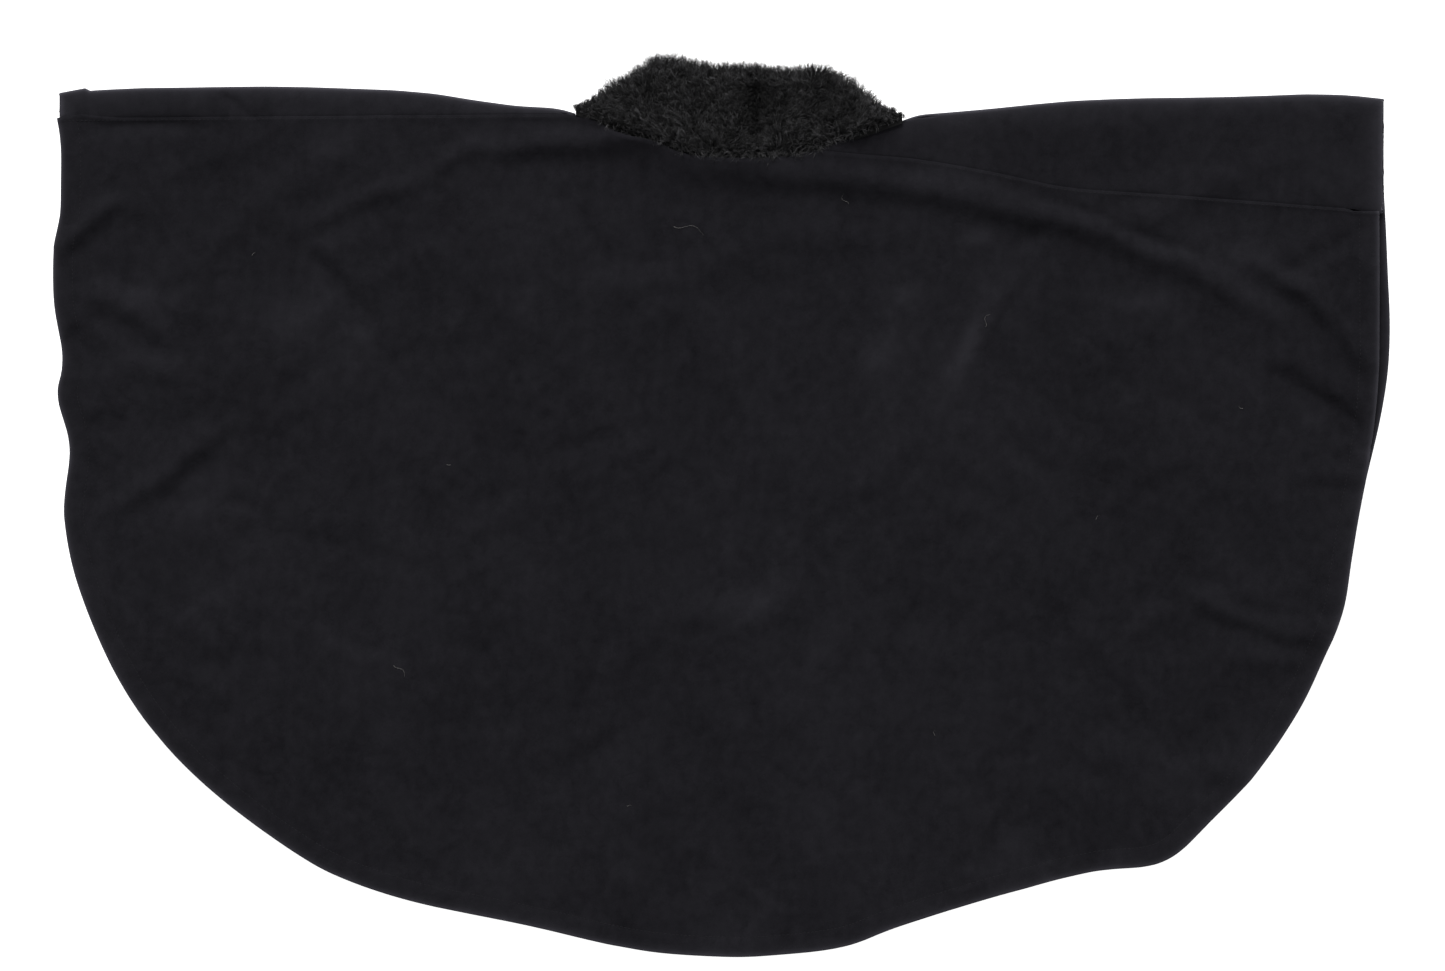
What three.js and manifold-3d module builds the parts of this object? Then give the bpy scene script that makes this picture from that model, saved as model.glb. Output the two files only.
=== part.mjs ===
// Fleece cape with a fur collar, lying flat on its front with the back panel upwards.
// Millimetres. +X to the cape's right, +Y towards the collar, +Z up; Z = 0 is the surface under it.
import * as THREE from 'three';
import Module from 'manifold-3d';

const wasm = await Module();
wasm.setup();

// ---- Driving dimensions ------------------------------------------------------------------------

const FLEECE = 1.8;               // cloth thickness
const TURNING = 1.5;              // a turned edge or tape, pressed flat
const GAP = 0.3;                  // clearance between neighbouring layers
const HEM = 20;                   // width of the turned hem
const STITCH_INSET = 19;          // the hem's stitching from the edge
const THREAD = 0.8;               // stitching width
const THREAD_RISE = 0.4;          // stitching thickness

const FRONT_Z = 0;                                       // the front panels lie underneath
const FRONT_TURN_Z = FRONT_Z + FLEECE + GAP;             // their hems and facings, on the inside
const BACK_TURN_Z = FRONT_TURN_Z + TURNING + GAP;        // the back's hem, seam tapes and binding
const BACK_Z = BACK_TURN_Z + TURNING + GAP;              // the back panel on top
const TOP_Z = BACK_Z + FLEECE;
const FOLD_R = (TOP_Z - FRONT_Z) / 2;                    // outside of the soft fold at the shoulders

const COLLAR_PILE = 9.4;          // fur of the front halves, flattened under the collar
const COLLAR_TOP = 26;            // top of the collar's upper fur
const LINING = 0.8;
const HOOK_ROOM = 2.8;            // height of the hook and eye between the linings
const FUR_ROUNDING = 0.94;        // how far the fur's rim draws in at its top and bottom

const LINING_FRONT_Z = COLLAR_PILE + GAP;
const HOOK_Z = LINING_FRONT_Z + LINING + GAP;
const LINING_BACK_Z = HOOK_Z + HOOK_ROOM + GAP;
const FUR_BACK_Z = LINING_BACK_Z + LINING + GAP;

const CENTRE_X = 18;              // centre line of the neck, where the front edges meet
const WIRE = 0.8;                 // hook and eye wire
const HOOK_Y = 358;               // height of the hook on the collar's front ends

// ---- Outlines ----------------------------------------------------------------------------------

// Hem of the back panel, from the left shoulder down and round to the right shoulder.
const BACK_HEM = [
  [-664, 387], [-660, 361], [-660, 320], [-661, 285], [-667, 262], [-667, 205], [-659, 157],
  [-659, 133], [-664, 109], [-651, 61], [-656, 13], [-657, -11], [-649, -59], [-633, -107],
  [-612, -155], [-584, -203], [-545, -251], [-492, -299], [-425, -347], [-381, -371],
  [-309, -395], [-194, -419], [-87, -443], [0, -450], [60, -448], [124, -440], [174, -421],
  [270, -391], [366, -366], [440, -356], [486, -317], [534, -266], [575, -206], [600, -154],
  [620, -106], [628, -58], [636, -10], [645, 38], [652, 90], [656, 150], [656, 294],
];
// Hems of the two front panels, from the shoulder fold to the centre front.
const LEFT_HEM = [
  [-662, 409], [-657, 361], [-657, 300], [-661, 262], [-661, 205], [-654, 140], [-648, 61],
  [-652, -11], [-644, -59], [-628, -107], [-607, -155], [-579, -203], [-540, -249],
  [-488, -296], [-422, -343], [-379, -367], [-307, -391], [-193, -415], [-87, -439], [-1, -446],
];
const RIGHT_HEM = [
  [1, -446], [60, -444], [123, -436], [172, -417], [268, -387], [365, -362], [438, -351],
  [483, -314], [531, -263], [571, -204], [600, -146], [617, -104], [627, -58], [636, -10],
  [647, 38], [658, 85], [666, 134], [668, 182], [666, 230], [664, 278], [661, 337], [661, 403],
];
// The soft fold along each shoulder, and the seam where the front panel meets the back.
const LEFT_FOLD = [
  [-662, 413], [-594, 417.5], [-522, 418.5], [-462, 419.5], [-402, 418.5], [-354, 416.5],
  [-306, 414.5], [-258, 407.5], [-220, 401], [-164, 397.7],
];
const RIGHT_FOLD = [
  [196, 391], [246, 395], [294, 399.5], [342, 404.5], [414, 407.5], [486, 408.5],
  [558, 410.5], [606, 412], [661, 407],
];
const LEFT_SEAM = [[-664, 387], [-540, 388], [-400, 389], [-280, 389.8], [-200, 390.5], [-152, 390.8]];
const RIGHT_SEAM = [
  [96, 354], [130, 351], [193, 346], [278, 331.5], [344, 317.5], [425, 311.5], [548, 302.5],
  [656, 294],
];
// Back neckline between the seams, and the rest of the neckline on each side.
const BACK_NECK = [
  [-152, 390.8], [-138, 389.3], [-124, 383], [-112, 375], [-101, 370], [-90, 367.5], [-72, 365],
  [-58, 359.5], [-47, 353.5], [-34, 349.5], [-12, 347], [20, 346], [55, 347], [78, 350.5],
  [96, 354],
];
const LEFT_NECK = [
  [-160, 393], [-138, 388], [-112, 373], [-90, 366], [-72, 363.5], [-47, 352], [-12, 346],
  [CENTRE_X - 1, 345.5],
];
const RIGHT_NECK = [
  [CENTRE_X + 1, 345.5], [55, 346.5], [78, 350], [97, 354.5], [112, 361], [147, 373], [190, 387],
];
// Collar: base from left to right, then back over the top.
const COLLAR_BASE = [
  [-150, 397.5], [-137, 392.5], [-124, 385.5], [-111, 377.5], [-100, 372.5], [-89, 370],
  [-71, 367.5], [-57, 362], [-46, 356], [-33, 352], [-12, 349.5], [20, 348.5], [55, 349.5],
  [78, 353], [97, 357], [111, 363.5], [146, 375.5], [184, 389],
];
const COLLAR_RIM = [
  [184, 389], [170, 397], [150, 409], [120, 430], [96, 438], [60, 438], [30, 441],
  [0, 440], [-24, 444], [-54, 450], [-67, 448], [-92, 431], [-116, 418], [-135, 405],
  [-150, 397.5],
];
// Rolled ridges in the back panel: points of the crest with half width and height.
const RIDGES = [
  [[-10, 322, 14, 3], [60, 322, 18, 6], [138, 310, 21, 8], [278, 302, 22, 8.5],
    [378, 280, 24, 9], [470, 252, 24, 9], [540, 222, 22, 7], [606, 182, 16, 3]],
  [[-612, -14, 12, 2], [-575, 20, 15, 5], [-545, 45, 15, 5], [-512, 65, 12, 2]],
  [[430, -78, 12, 2], [475, -90, 16, 5], [520, -102, 16, 5], [560, -112, 12, 2]],
];

// ---- Materials ---------------------------------------------------------------------------------

const finish = (color, roughness, metalness = 0) => () =>
  new THREE.MeshStandardMaterial({ color, roughness, metalness });
const fleece = finish(0x1d1c20, 0.95);
const fur = finish(0x1a1a1c, 0.85);
const lining = finish(0x161618, 0.5);
const thread = finish(0x28272b, 0.7);
const tape = finish(0x1b1b1e, 0.8);
const label = finish(0x37373a, 0.6);
const nickel = finish(0x9b9b9e, 0.35, 1);

// ---- Geometry helpers --------------------------------------------------------------------------

// Smooth line through the given points, as evenly spaced vectors.
function smooth(points, step = 16) {
  const curve = new THREE.SplineCurve(points.map(([x, y]) => new THREE.Vector2(x, y)));
  return curve.getSpacedPoints(Math.max(2, Math.round(curve.getLength() / step)));
}

// Line moved to its left by a distance, which is inwards on an outline that runs anticlockwise.
function inset(line, distance) {
  return line.map((p, i) => {
    const a = line[Math.max(i - 1, 0)];
    const b = line[Math.min(i + 1, line.length - 1)];
    const along = b.clone().sub(a).normalize();
    return new THREE.Vector2(p.x - along.y * distance, p.y + along.x * distance);
  });
}

// Band beside a line, between two distances to its left.
const band = (line, near, far) => [...inset(line, near), ...inset(line, far).reverse()];

// Closed body through rings of equal length, each an anticlockwise outline at a height.
function loft(rings) {
  const count = rings[0].line.length;
  const position = rings.flatMap(({ line, z }) => line.flatMap((p) => [p.x, p.y, z]));
  const index = [];
  for (let r = 0; r + 1 < rings.length; r += 1) {
    for (let i = 0; i < count; i += 1) {
      const [a, b] = [r * count + i, r * count + ((i + 1) % count)];
      index.push(a, b, b + count, a, b + count, a + count);
    }
  }
  const top = (rings.length - 1) * count;
  const capOf = ({ line }) => THREE.ShapeUtils.triangulateShape(line, []);
  capOf(rings[0]).forEach(([a, b, c]) => index.push(c, b, a));
  capOf(rings.at(-1)).forEach(([a, b, c]) => index.push(top + a, top + b, top + c));
  const geometry = new THREE.BufferGeometry();
  geometry.setAttribute('position', new THREE.Float32BufferAttribute(position, 3));
  geometry.setIndex(index);
  return geometry;
}

const slab = (line, z, height) => loft([{ line, z }, { line, z: z + height }]);

// Closed body swept through sections of equal length, each a list of points in space.
function sweep(sections) {
  const count = sections[0].length;
  const position = sections.flatMap((section) => section.flatMap((p) => [p.x, p.y, p.z]));
  const index = [];
  for (let s = 0; s + 1 < sections.length; s += 1) {
    for (let i = 0; i < count; i += 1) {
      const [a, b] = [s * count + i, s * count + ((i + 1) % count)];
      index.push(a, b, b + count, a, b + count, a + count);
    }
  }
  const along = new THREE.Vector3().subVectors(sections[1][0], sections[0][0]).setZ(0).normalize();
  const across = new THREE.Vector3(-along.y, along.x, 0);
  const flat = (section) => section.map((p) => new THREE.Vector2(p.dot(across), p.z));
  const last = (sections.length - 1) * count;
  const cap = THREE.ShapeUtils.triangulateShape(flat(sections[0]), []);
  cap.forEach(([a, b, c]) => index.push(c, b, a));
  cap.forEach(([a, b, c]) => index.push(last + a, last + b, last + c));
  const geometry = new THREE.BufferGeometry();
  geometry.setAttribute('position', new THREE.Float32BufferAttribute(position, 3));
  geometry.setIndex(index);
  return geometry;
}

function toSolid(geometry) {
  const source = geometry.index ? geometry : geometry.clone();
  const mesh = new wasm.Mesh({
    numProp: 3,
    vertProperties: new Float32Array(source.attributes.position.array),
    triVerts: new Uint32Array(source.index.array),
  });
  mesh.merge();
  return new wasm.Manifold(mesh);
}

function toGeometry(solid) {
  const mesh = solid.getMesh();
  const geometry = new THREE.BufferGeometry();
  geometry.setAttribute('position', new THREE.BufferAttribute(mesh.vertProperties, 3));
  geometry.setIndex(new THREE.BufferAttribute(mesh.triVerts, 1));
  return geometry;
}

const joined = (...parts) => toGeometry(parts.map(toSolid).reduce((all, one) => all.add(one)));

const cape = new THREE.Group();
function place(name, geometry, material) {
  const shaded = geometry.toNonIndexed();
  shaded.computeVertexNormals();
  const mesh = new THREE.Mesh(shaded, material());
  mesh.name = name;
  cape.add(mesh);
}

// ---- Fleece panels -----------------------------------------------------------------------------

// A low rounded ridge along a crest, its foot sunk into the back panel.
function ridge(crest) {
  const line = new THREE.SplineCurve(crest.map(([x, y]) => new THREE.Vector2(x, y)));
  const sizes = new THREE.SplineCurve(crest.map(([, , w, h]) => new THREE.Vector2(w, h)));
  const stations = crest.length * 3;
  const sections = [];
  for (let s = 0; s <= stations; s += 1) {
    const at = line.getPoint(s / stations);
    const size = sizes.getPoint(s / stations);
    const along = line.getTangent(s / stations);
    const across = [-0.95, -0.7, -0.4, -0.13, 0.13, 0.4, 0.7, 0.95];
    const point = (u, z) =>
      new THREE.Vector3(at.x - along.y * u * size.x, at.y + along.x * u * size.x, z);
    const bump = (u) => TOP_Z - 0.3 + size.y * Math.cos((Math.PI * u) / 2) ** 2;
    sections.push([
      point(-1, TOP_Z - 1), point(1, TOP_Z - 1), ...across.reverse().map((u) => point(u, bump(u))),
    ]);
  }
  return sweep(sections);
}

function backPanel() {
  const outline = [
    ...smooth(BACK_HEM),
    ...smooth(RIGHT_SEAM, 30).reverse().slice(1),
    ...smooth(BACK_NECK, 16).reverse().slice(1),
    ...smooth(LEFT_SEAM, 60).reverse().slice(1, -1),
  ];
  return joined(slab(outline, BACK_Z, FLEECE), ...RIDGES.map(ridge));
}

// The rolled cloth between the lower and the upper layer, along one shoulder.
function shoulderRoll(fold) {
  const arc = (radius, from, to) => {
    const points = [];
    for (let i = 0; i <= 6; i += 1) {
      const angle = from + ((to - from) * i) / 6;
      points.push([radius * Math.cos(angle), FOLD_R + radius * Math.sin(angle)]);
    }
    return points;
  };
  const quarter = Math.PI / 2;
  const profile = [
    [-2, 0], ...arc(FOLD_R, -quarter, quarter), [-2, TOP_Z],
    [-2, BACK_Z], ...arc(FOLD_R - FLEECE, quarter, -quarter), [-2, FLEECE],
  ];
  return sweep(fold.map((p) =>
    profile.map(([y, z]) => new THREE.Vector3(p.x, p.y - FOLD_R + y, z))));
}

const lowered = (line, distance) => line.map((p) => new THREE.Vector2(p.x, p.y - distance));

function leftFrontPanel() {
  const fold = smooth(LEFT_FOLD, 40);
  const crease = lowered(fold, FOLD_R);
  const under = [
    ...smooth(LEFT_HEM).slice(1), ...smooth(LEFT_NECK).reverse(), ...[...crease].reverse(),
  ];
  const seam = smooth(LEFT_SEAM, 60).filter((p) => p.x > -655 && p.x < -240);
  const over = [
    new THREE.Vector2(-662, 387 + 2 * GAP), ...lowered(seam, -GAP), ...[...crease].reverse(),
  ];
  return joined(slab(under, 0, FLEECE), slab(over, BACK_Z, FLEECE), shoulderRoll(fold));
}

function rightFrontPanel() {
  const fold = smooth(RIGHT_FOLD, 40);
  const crease = lowered(fold, FOLD_R);
  const neck = smooth(RIGHT_NECK);
  const under = [
    ...smooth(RIGHT_HEM).slice(0, -1), ...[...crease].reverse(), ...[...neck].reverse(),
  ];
  const seam = smooth(RIGHT_SEAM, 30).filter((p) => p.x > 112 && p.x < 650);
  const over = [
    ...lowered(seam, -2 * GAP), new THREE.Vector2(656, 294 + 2 * GAP),
    new THREE.Vector2(656, 345), ...[...crease].reverse(),
    ...[[182, 383.5], [147, 372.3], [113, 360.3]].map((p) => new THREE.Vector2(...p)),
  ];
  return joined(slab(under, 0, FLEECE), slab(over, BACK_Z, FLEECE), shoulderRoll(fold));
}

place('back_panel', backPanel(), fleece);
place('left_front_panel', leftFrontPanel(), fleece);
place('right_front_panel', rightFrontPanel(), fleece);

// ---- Hems, facings, tapes and stitching --------------------------------------------------------

// The turned-up hems, against the inside of each panel.
const backHem = smooth(BACK_HEM);
const leftHem = smooth(LEFT_HEM).filter((p) => p.y < 395 && p.x < -6);
const rightHem = smooth(RIGHT_HEM).filter((p) => p.y < 390 && p.x > 6);
place('back_hem', slab(band(backHem, 0.8, HEM), BACK_TURN_Z, TURNING), tape);
place('left_front_hem', slab(band(leftHem, 0.8, HEM), FRONT_TURN_Z, TURNING), tape);
place('right_front_hem', slab(band(rightHem, 0.8, HEM), FRONT_TURN_Z, TURNING), tape);

// Facing inside each front edge, from the neck to the hem.
function frontFacing(side) {
  const near = side < 0 ? 24 : 1.5;
  const width = 22.5;
  const line = [[CENTRE_X, 338], [0, -424]].map(([x, y]) =>
    new THREE.Vector2(x + (side < 0 ? -near : near), y));
  const far = line.map((p) => new THREE.Vector2(p.x + width, p.y));
  return slab([line[1], far[1], far[0], line[0]], FRONT_TURN_Z, TURNING);
}
place('left_front_facing', frontFacing(-1), tape);
place('right_front_facing', frontFacing(1), tape);

// Tape behind each shoulder seam and binding behind the back neckline.
const leftSeam = smooth(LEFT_SEAM, 60).filter((p) => p.x > -640 && p.x < -176);
const rightSeam = smooth(RIGHT_SEAM, 30).filter((p) => p.x > 150 && p.x < 632);
const neckLine = smooth(BACK_NECK, 16).filter((p) => p.x > -122 && p.x < 122);
place('left_shoulder_seam_tape', slab(band(leftSeam, -5, 5), BACK_TURN_Z, TURNING), tape);
place('right_shoulder_seam_tape', slab(band(rightSeam, -5, 5), BACK_TURN_Z, TURNING), tape);
place('neck_binding', slab(band(neckLine, -13, -1), BACK_TURN_Z, TURNING), tape);

// Lines of stitching on the upper side.
const stitching = (line, at) =>
  slab(band(line, at - THREAD / 2, at + THREAD / 2), TOP_Z + GAP, THREAD_RISE);
place('back_hem_stitching', stitching(backHem.slice(1, -1), STITCH_INSET), thread);
place('left_shoulder_stitching', stitching(leftSeam, -4), thread);
place('right_shoulder_stitching', stitching(rightSeam, -4), thread);

// ---- Loop and labels inside the back neck ------------------------------------------------------

const box = (x, y, z, width, depth, height) =>
  slab([[x, y], [x + width, y], [x + width, y + depth], [x, y + depth]]
    .map(([u, v]) => new THREE.Vector2(u, v)), z, height);
place('hanger_tape', box(CENTRE_X - 35, 325, BACK_Z - GAP - 1, 70, 6.5, 1), tape);
place('neck_label', box(CENTRE_X - 25, 296, BACK_Z - GAP - 0.5, 50, 28, 0.5), label);
place('care_label', box(-620, -70, BACK_Z - GAP - 0.5, 32, 22, 0.5), label);

// ---- Collar ------------------------------------------------------------------------------------
// The stand is sewn to the neck; the fall turns over about the straight line from end to end.

const outlineOf = (line, heart, shift) => {
  const points = smooth(line, 12).map((p) => p.clone().add(new THREE.Vector2(0, shift)));
  return { points, heart: new THREE.Vector2(...heart) };
};
const STAND = outlineOf(COLLAR_BASE, [CENTRE_X, 374], -GAP / 2);
const FALL = outlineOf(COLLAR_RIM, [CENTRE_X, 414], GAP / 2);

// Part of an outline between two positions across it, drawn in towards its middle.
function collarPiece({ points, heart }, from, to, factor = 1) {
  const ring = [];
  points.forEach((p, i) => {
    const q = points[(i + 1) % points.length];
    if (p.x >= from && p.x <= to) ring.push(p);
    const crossed = [from, to].filter((x) => (p.x - x) * (q.x - x) < 0);
    if (q.x < p.x) crossed.reverse();
    crossed.forEach((x) => ring.push(p.clone().lerp(q, (x - p.x) / (q.x - p.x))));
  });
  return ring.map((p) => p.clone().sub(heart).multiplyScalar(factor).add(heart));
}

// Fur with a rounded rim, from one height to another.
function furPad(outline, from, to, z, height) {
  const outer = collarPiece(outline, from, to);
  const inner = collarPiece(outline, from, to, FUR_ROUNDING);
  const shoulder = height * 0.3;
  return loft([
    { line: inner, z }, { line: outer, z: z + shoulder },
    { line: outer, z: z + height - shoulder }, { line: inner, z: z + height },
  ]);
}

const WIDE = 999;
const SPLIT = 1;
const [LEFT_END, RIGHT_END] = [[-WIDE, CENTRE_X - SPLIT], [CENTRE_X + SPLIT, WIDE]];
for (const [name, outline] of [['stand', STAND], ['fall', FALL]]) {
  const furLayer = (range, z, height) => furPad(outline, ...range, z, height);
  const liningLayer = (range, z) => slab(collarPiece(outline, ...range, 0.93), z, LINING);
  place(`${name}_back_fur`, furLayer([-WIDE, WIDE], FUR_BACK_Z, COLLAR_TOP - FUR_BACK_Z), fur);
  place(`${name}_left_fur`, furLayer(LEFT_END, 0, COLLAR_PILE), fur);
  place(`${name}_right_fur`, furLayer(RIGHT_END, 0, COLLAR_PILE), fur);
  place(`${name}_back_lining`, liningLayer([-WIDE, WIDE], LINING_BACK_Z), lining);
  place(`${name}_left_lining`, liningLayer(LEFT_END, LINING_FRONT_Z), lining);
  place(`${name}_right_lining`, liningLayer(RIGHT_END, LINING_FRONT_Z), lining);
}

// ---- Hook and eye ------------------------------------------------------------------------------

// Flat sewing ring at the end of a wire.
function sewingRing(x, y, z) {
  const shape = new THREE.Shape().absarc(0, 0, 2, 0, 2 * Math.PI);
  shape.holes.push(new THREE.Path().absarc(0, 0, 1.1, 0, 2 * Math.PI, true));
  const ring = new THREE.ExtrudeGeometry(shape, { depth: WIRE, bevelEnabled: false, curveSegments: 8 });
  ring.translate(x, y, z);
  ring.deleteAttribute('normal');
  ring.deleteAttribute('uv');
  const flat = ring.attributes.position;
  ring.setIndex([...Array(flat.count).keys()]);
  return ring;
}

// Eye on the left end: a bar across two arms, each sewn down by a ring.
const BAR_X = CENTRE_X - 2;
function eye() {
  const z = HOOK_Z + 1;
  const arms = [-4.8, 4].map((y) => box(BAR_X - 10, HOOK_Y + y, z, 10 + WIRE, WIRE, WIRE));
  const bar = box(BAR_X, HOOK_Y - 4.8, z, WIRE, 9.6, WIRE);
  const rings = [-5.6, 5.6].map((y) => sewingRing(BAR_X - 11, HOOK_Y + y, z));
  return joined(bar, ...arms, ...rings);
}

// Hook on the right end: a flat strip that passes under the bar and turns back over it.
function hook() {
  const half = 1.5;
  const path = [
    [12, 0], [12, 0.7], [-1.3, 0.7], [-1.3, 2.1], [4, 2.1], [4, 2.8], [-2, 2.8], [-2, 0],
  ];
  const side = (y) => path.map(([x, z]) => new THREE.Vector3(BAR_X + x, HOOK_Y + y, HOOK_Z + z));
  const rings = [-2.4, 2.4].map((y) => sewingRing(BAR_X + 13, HOOK_Y + y, HOOK_Z));
  return joined(sweep([side(half), side(-half)]), ...rings);
}

place('fur_hook', hook(), nickel);
place('fur_eye', eye(), nickel);

export default cape;
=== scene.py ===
"""The looks of a fleece cape with a fur collar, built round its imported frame.

The cape lies flat on its front: the two front panels underneath, the back panel on top and the
flattened collar beyond the neckline. Lengths are in millimetres until a mesh is made, in metres.
+X is the wearer's right, +Y runs from the hem to the collar and +Z is up from the floor.
"""

from __future__ import annotations

import logging
import math
from dataclasses import dataclass, field
from enum import Enum

import bmesh
import bpy
import numpy as np
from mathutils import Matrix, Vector


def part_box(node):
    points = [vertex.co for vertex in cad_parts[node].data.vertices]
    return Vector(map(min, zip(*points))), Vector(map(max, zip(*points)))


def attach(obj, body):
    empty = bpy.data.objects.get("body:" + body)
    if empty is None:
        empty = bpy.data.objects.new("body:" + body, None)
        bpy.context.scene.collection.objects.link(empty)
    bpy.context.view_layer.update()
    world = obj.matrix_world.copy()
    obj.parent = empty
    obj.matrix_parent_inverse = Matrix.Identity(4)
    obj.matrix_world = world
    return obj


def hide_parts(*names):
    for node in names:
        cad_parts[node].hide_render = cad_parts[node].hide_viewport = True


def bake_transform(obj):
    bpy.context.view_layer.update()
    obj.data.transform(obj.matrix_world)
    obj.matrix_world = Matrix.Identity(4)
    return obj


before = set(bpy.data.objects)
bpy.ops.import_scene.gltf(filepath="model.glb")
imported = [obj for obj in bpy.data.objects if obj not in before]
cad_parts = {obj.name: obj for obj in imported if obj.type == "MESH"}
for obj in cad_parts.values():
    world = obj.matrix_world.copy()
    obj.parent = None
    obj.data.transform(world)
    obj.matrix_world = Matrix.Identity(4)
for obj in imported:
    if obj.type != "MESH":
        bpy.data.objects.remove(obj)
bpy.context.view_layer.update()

MM = 0.001
CLOTH = 1.8          # fleece thickness, pile included
TURN = 1.9           # from the middle of one layer to the middle of the next
FRONT_LEVEL = 0.98   # middle of the front panels' cloth
BACK_LEVEL = 6.66    # middle of the back panel's cloth
HEM = 20.0           # width of the turned hem
STITCH_LINE = 19.0   # the hem's stitching from the edge
TURNED_ROWS = (HEM, HEM - 1.2, 15.0, 9.0, 4.5, 2.2)  # rows of the turned part, from the edge
FLAT_ROWS = len(TURNED_ROWS)
EDGE_SPACING = 2.0   # step along an outline once it has been smoothed
BAND_SIDES = 12      # points round a band's section
HAIR_TAPER = 0.7     # share of a hair's radius that is lost at its last ring
log = logging.getLogger("cape")

Array = np.ndarray
Piece = bpy.types.Object
Socket = bpy.types.NodeSocket


class Side(Enum):
    """Which side of the wearer a piece belongs to."""

    LEFT = "left"
    RIGHT = "right"

    @property
    def sign(self) -> int:
        """-1 on the left, where X is negative, and +1 on the right."""
        return -1 if self is Side.LEFT else 1


# ---- Curves and fields ---------------------------------------------------------------------------


def smoothstep(t: Array) -> Array:
    """Eases from 0 to 1: 3t^2 - 2t^3, with t held between 0 and 1."""
    t = np.clip(t, 0.0, 1.0)
    return t * t * (3.0 - 2.0 * t)


def bell(distance: Array, width: float | Array) -> Array:
    """Bell curve: e to the minus (distance over width) squared."""
    return np.exp(-((distance / width) ** 2))


def lengths(line: Array) -> Array:
    """Distance along a line at each of its points, from 0."""
    return np.concatenate([[0.0], np.cumsum(np.linalg.norm(np.diff(line, axis=0), axis=1))])


def at_lengths(line: Array, where: Array) -> Array:
    """Points at the given distances along a line, by straight interpolation."""
    run = lengths(line)
    return np.stack([np.interp(where, run, column) for column in line.T], axis=1)


def spread(line: Array, count: int) -> Array:
    """The same line with a number of evenly spaced points."""
    return at_lengths(line, np.linspace(0.0, lengths(line)[-1], count))


def soften(line: Array, step: float = EDGE_SPACING, reach: float = 7.0) -> Array:
    """A line with its corners rounded off and its ends kept.

    It is sampled every `step`, continued past each end by turning it about that end, and averaged
    with a bell curve of width `reach`.

    Args:
        line: points of the line.
        step: spacing of the result.
        reach: width of the average.

    Returns:
        The smooth line.
    """
    fine = spread(line, max(8, int(lengths(line)[-1] / step)))
    pad = min(int(3 * reach / step), len(fine) - 2)
    before = 2 * fine[0] - fine[pad:0:-1]
    after = 2 * fine[-1] - fine[-2 : -pad - 2 : -1]
    long = np.concatenate([before, fine, after])
    weight = bell(np.arange(-pad, pad + 1) * step, reach)
    weight /= weight.sum()
    return np.stack([np.convolve(column, weight, "valid") for column in long.T], axis=1)


def inward(line: Array) -> Array:
    """Unit vectors to the left of a line, which point inwards on an anticlockwise outline."""
    along = np.gradient(line, axis=0)
    along /= np.linalg.norm(along, axis=1, keepdims=True) + 1e-12
    return np.stack([-along[:, 1], along[:, 0]], axis=1)


def value_noise(x: Array, y: Array, cell: float, seed: int) -> Array:
    """Soft random field from -1 to 1: random values on a lattice, eased between its points."""
    table = np.random.default_rng(seed).uniform(-1.0, 1.0, (64, 64))
    fx, fy = x / cell, y / cell
    ix, iy = np.floor(fx).astype(int), np.floor(fy).astype(int)
    tx, ty = smoothstep(fx - ix), smoothstep(fy - iy)
    value = lambda i, j: table[i % 64, j % 64]
    low = value(ix, iy) * (1 - tx) + value(ix + 1, iy) * tx
    high = value(ix, iy + 1) * (1 - tx) + value(ix + 1, iy + 1) * tx
    return low * (1 - ty) + high * ty


def coons(bottom: Array, top: Array, left: Array, right: Array,
          u: Array, v: Array) -> Array:
    """Grid between four edges: the two blends of facing edges, less the blend of the corners.

    Args:
        bottom: edge at v = 0, one point for each u.
        top: edge at v = 1, one point for each u.
        left: edge at u = 0, one point for each v.
        right: edge at u = 1, one point for each v.
        u: positions across, from 0 to 1.
        v: positions up, from 0 to 1.

    Returns:
        Points indexed by row, column and coordinate.
    """
    across, up = u[None, :, None], v[:, None, None]
    between = (1 - up) * bottom[None] + up * top[None]
    beside = (1 - across) * left[:, None] + across * right[:, None]
    corners = (1 - up) * ((1 - across) * bottom[0] + across * bottom[-1])
    corners = corners + up * ((1 - across) * top[0] + across * top[-1])
    return between + beside - corners


def closer_at_end(count: int, extent: float, steps: tuple[float, ...]) -> Array:
    """Positions from 0 to 1, even at first and then at the given distances before the end."""
    near = 1.0 - np.array(sorted(steps, reverse=True)) / extent
    return np.concatenate([np.linspace(0.0, near[0], count), near[1:]])


def turned_edge(turn: float, inner: tuple[float, ...]) -> tuple[Array, Array]:
    """Section of a hem: the turned part, the fold round the edge and the face of the cloth.

    The fold is a half circle of half the layer spacing, flattened a little sideways.

    Args:
        turn: height of the turned part from the face, negative when it lies below.
        inner: distances from the edge at which the face has rows, nearest first.

    Returns:
        Distance from the edge and height from the face for each row.
    """
    angle = np.linspace(-math.pi / 2, math.pi / 2, 9)
    nose = abs(turn) / 2
    fold_inset = nose * (1 - np.cos(angle)) * 0.85
    fold_drop = turn / 2 * (1 - np.sin(angle))
    inset = np.concatenate([TURNED_ROWS, fold_inset, inner])
    drop = np.concatenate([np.full(FLAT_ROWS, turn), fold_drop, np.zeros(len(inner))])
    return inset, drop


def edge_frame(line: Array, where: Array) -> tuple[Array, Array]:
    """Points and inward directions of an outline at the given distances along it."""
    run = lengths(line)
    side = np.stack([np.interp(where, run, inward(line)[:, k]) for k in range(2)], axis=1)
    return at_lengths(line, where), side / np.linalg.norm(side, axis=1, keepdims=True)


# ---- Meshes --------------------------------------------------------------------------------------


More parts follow.
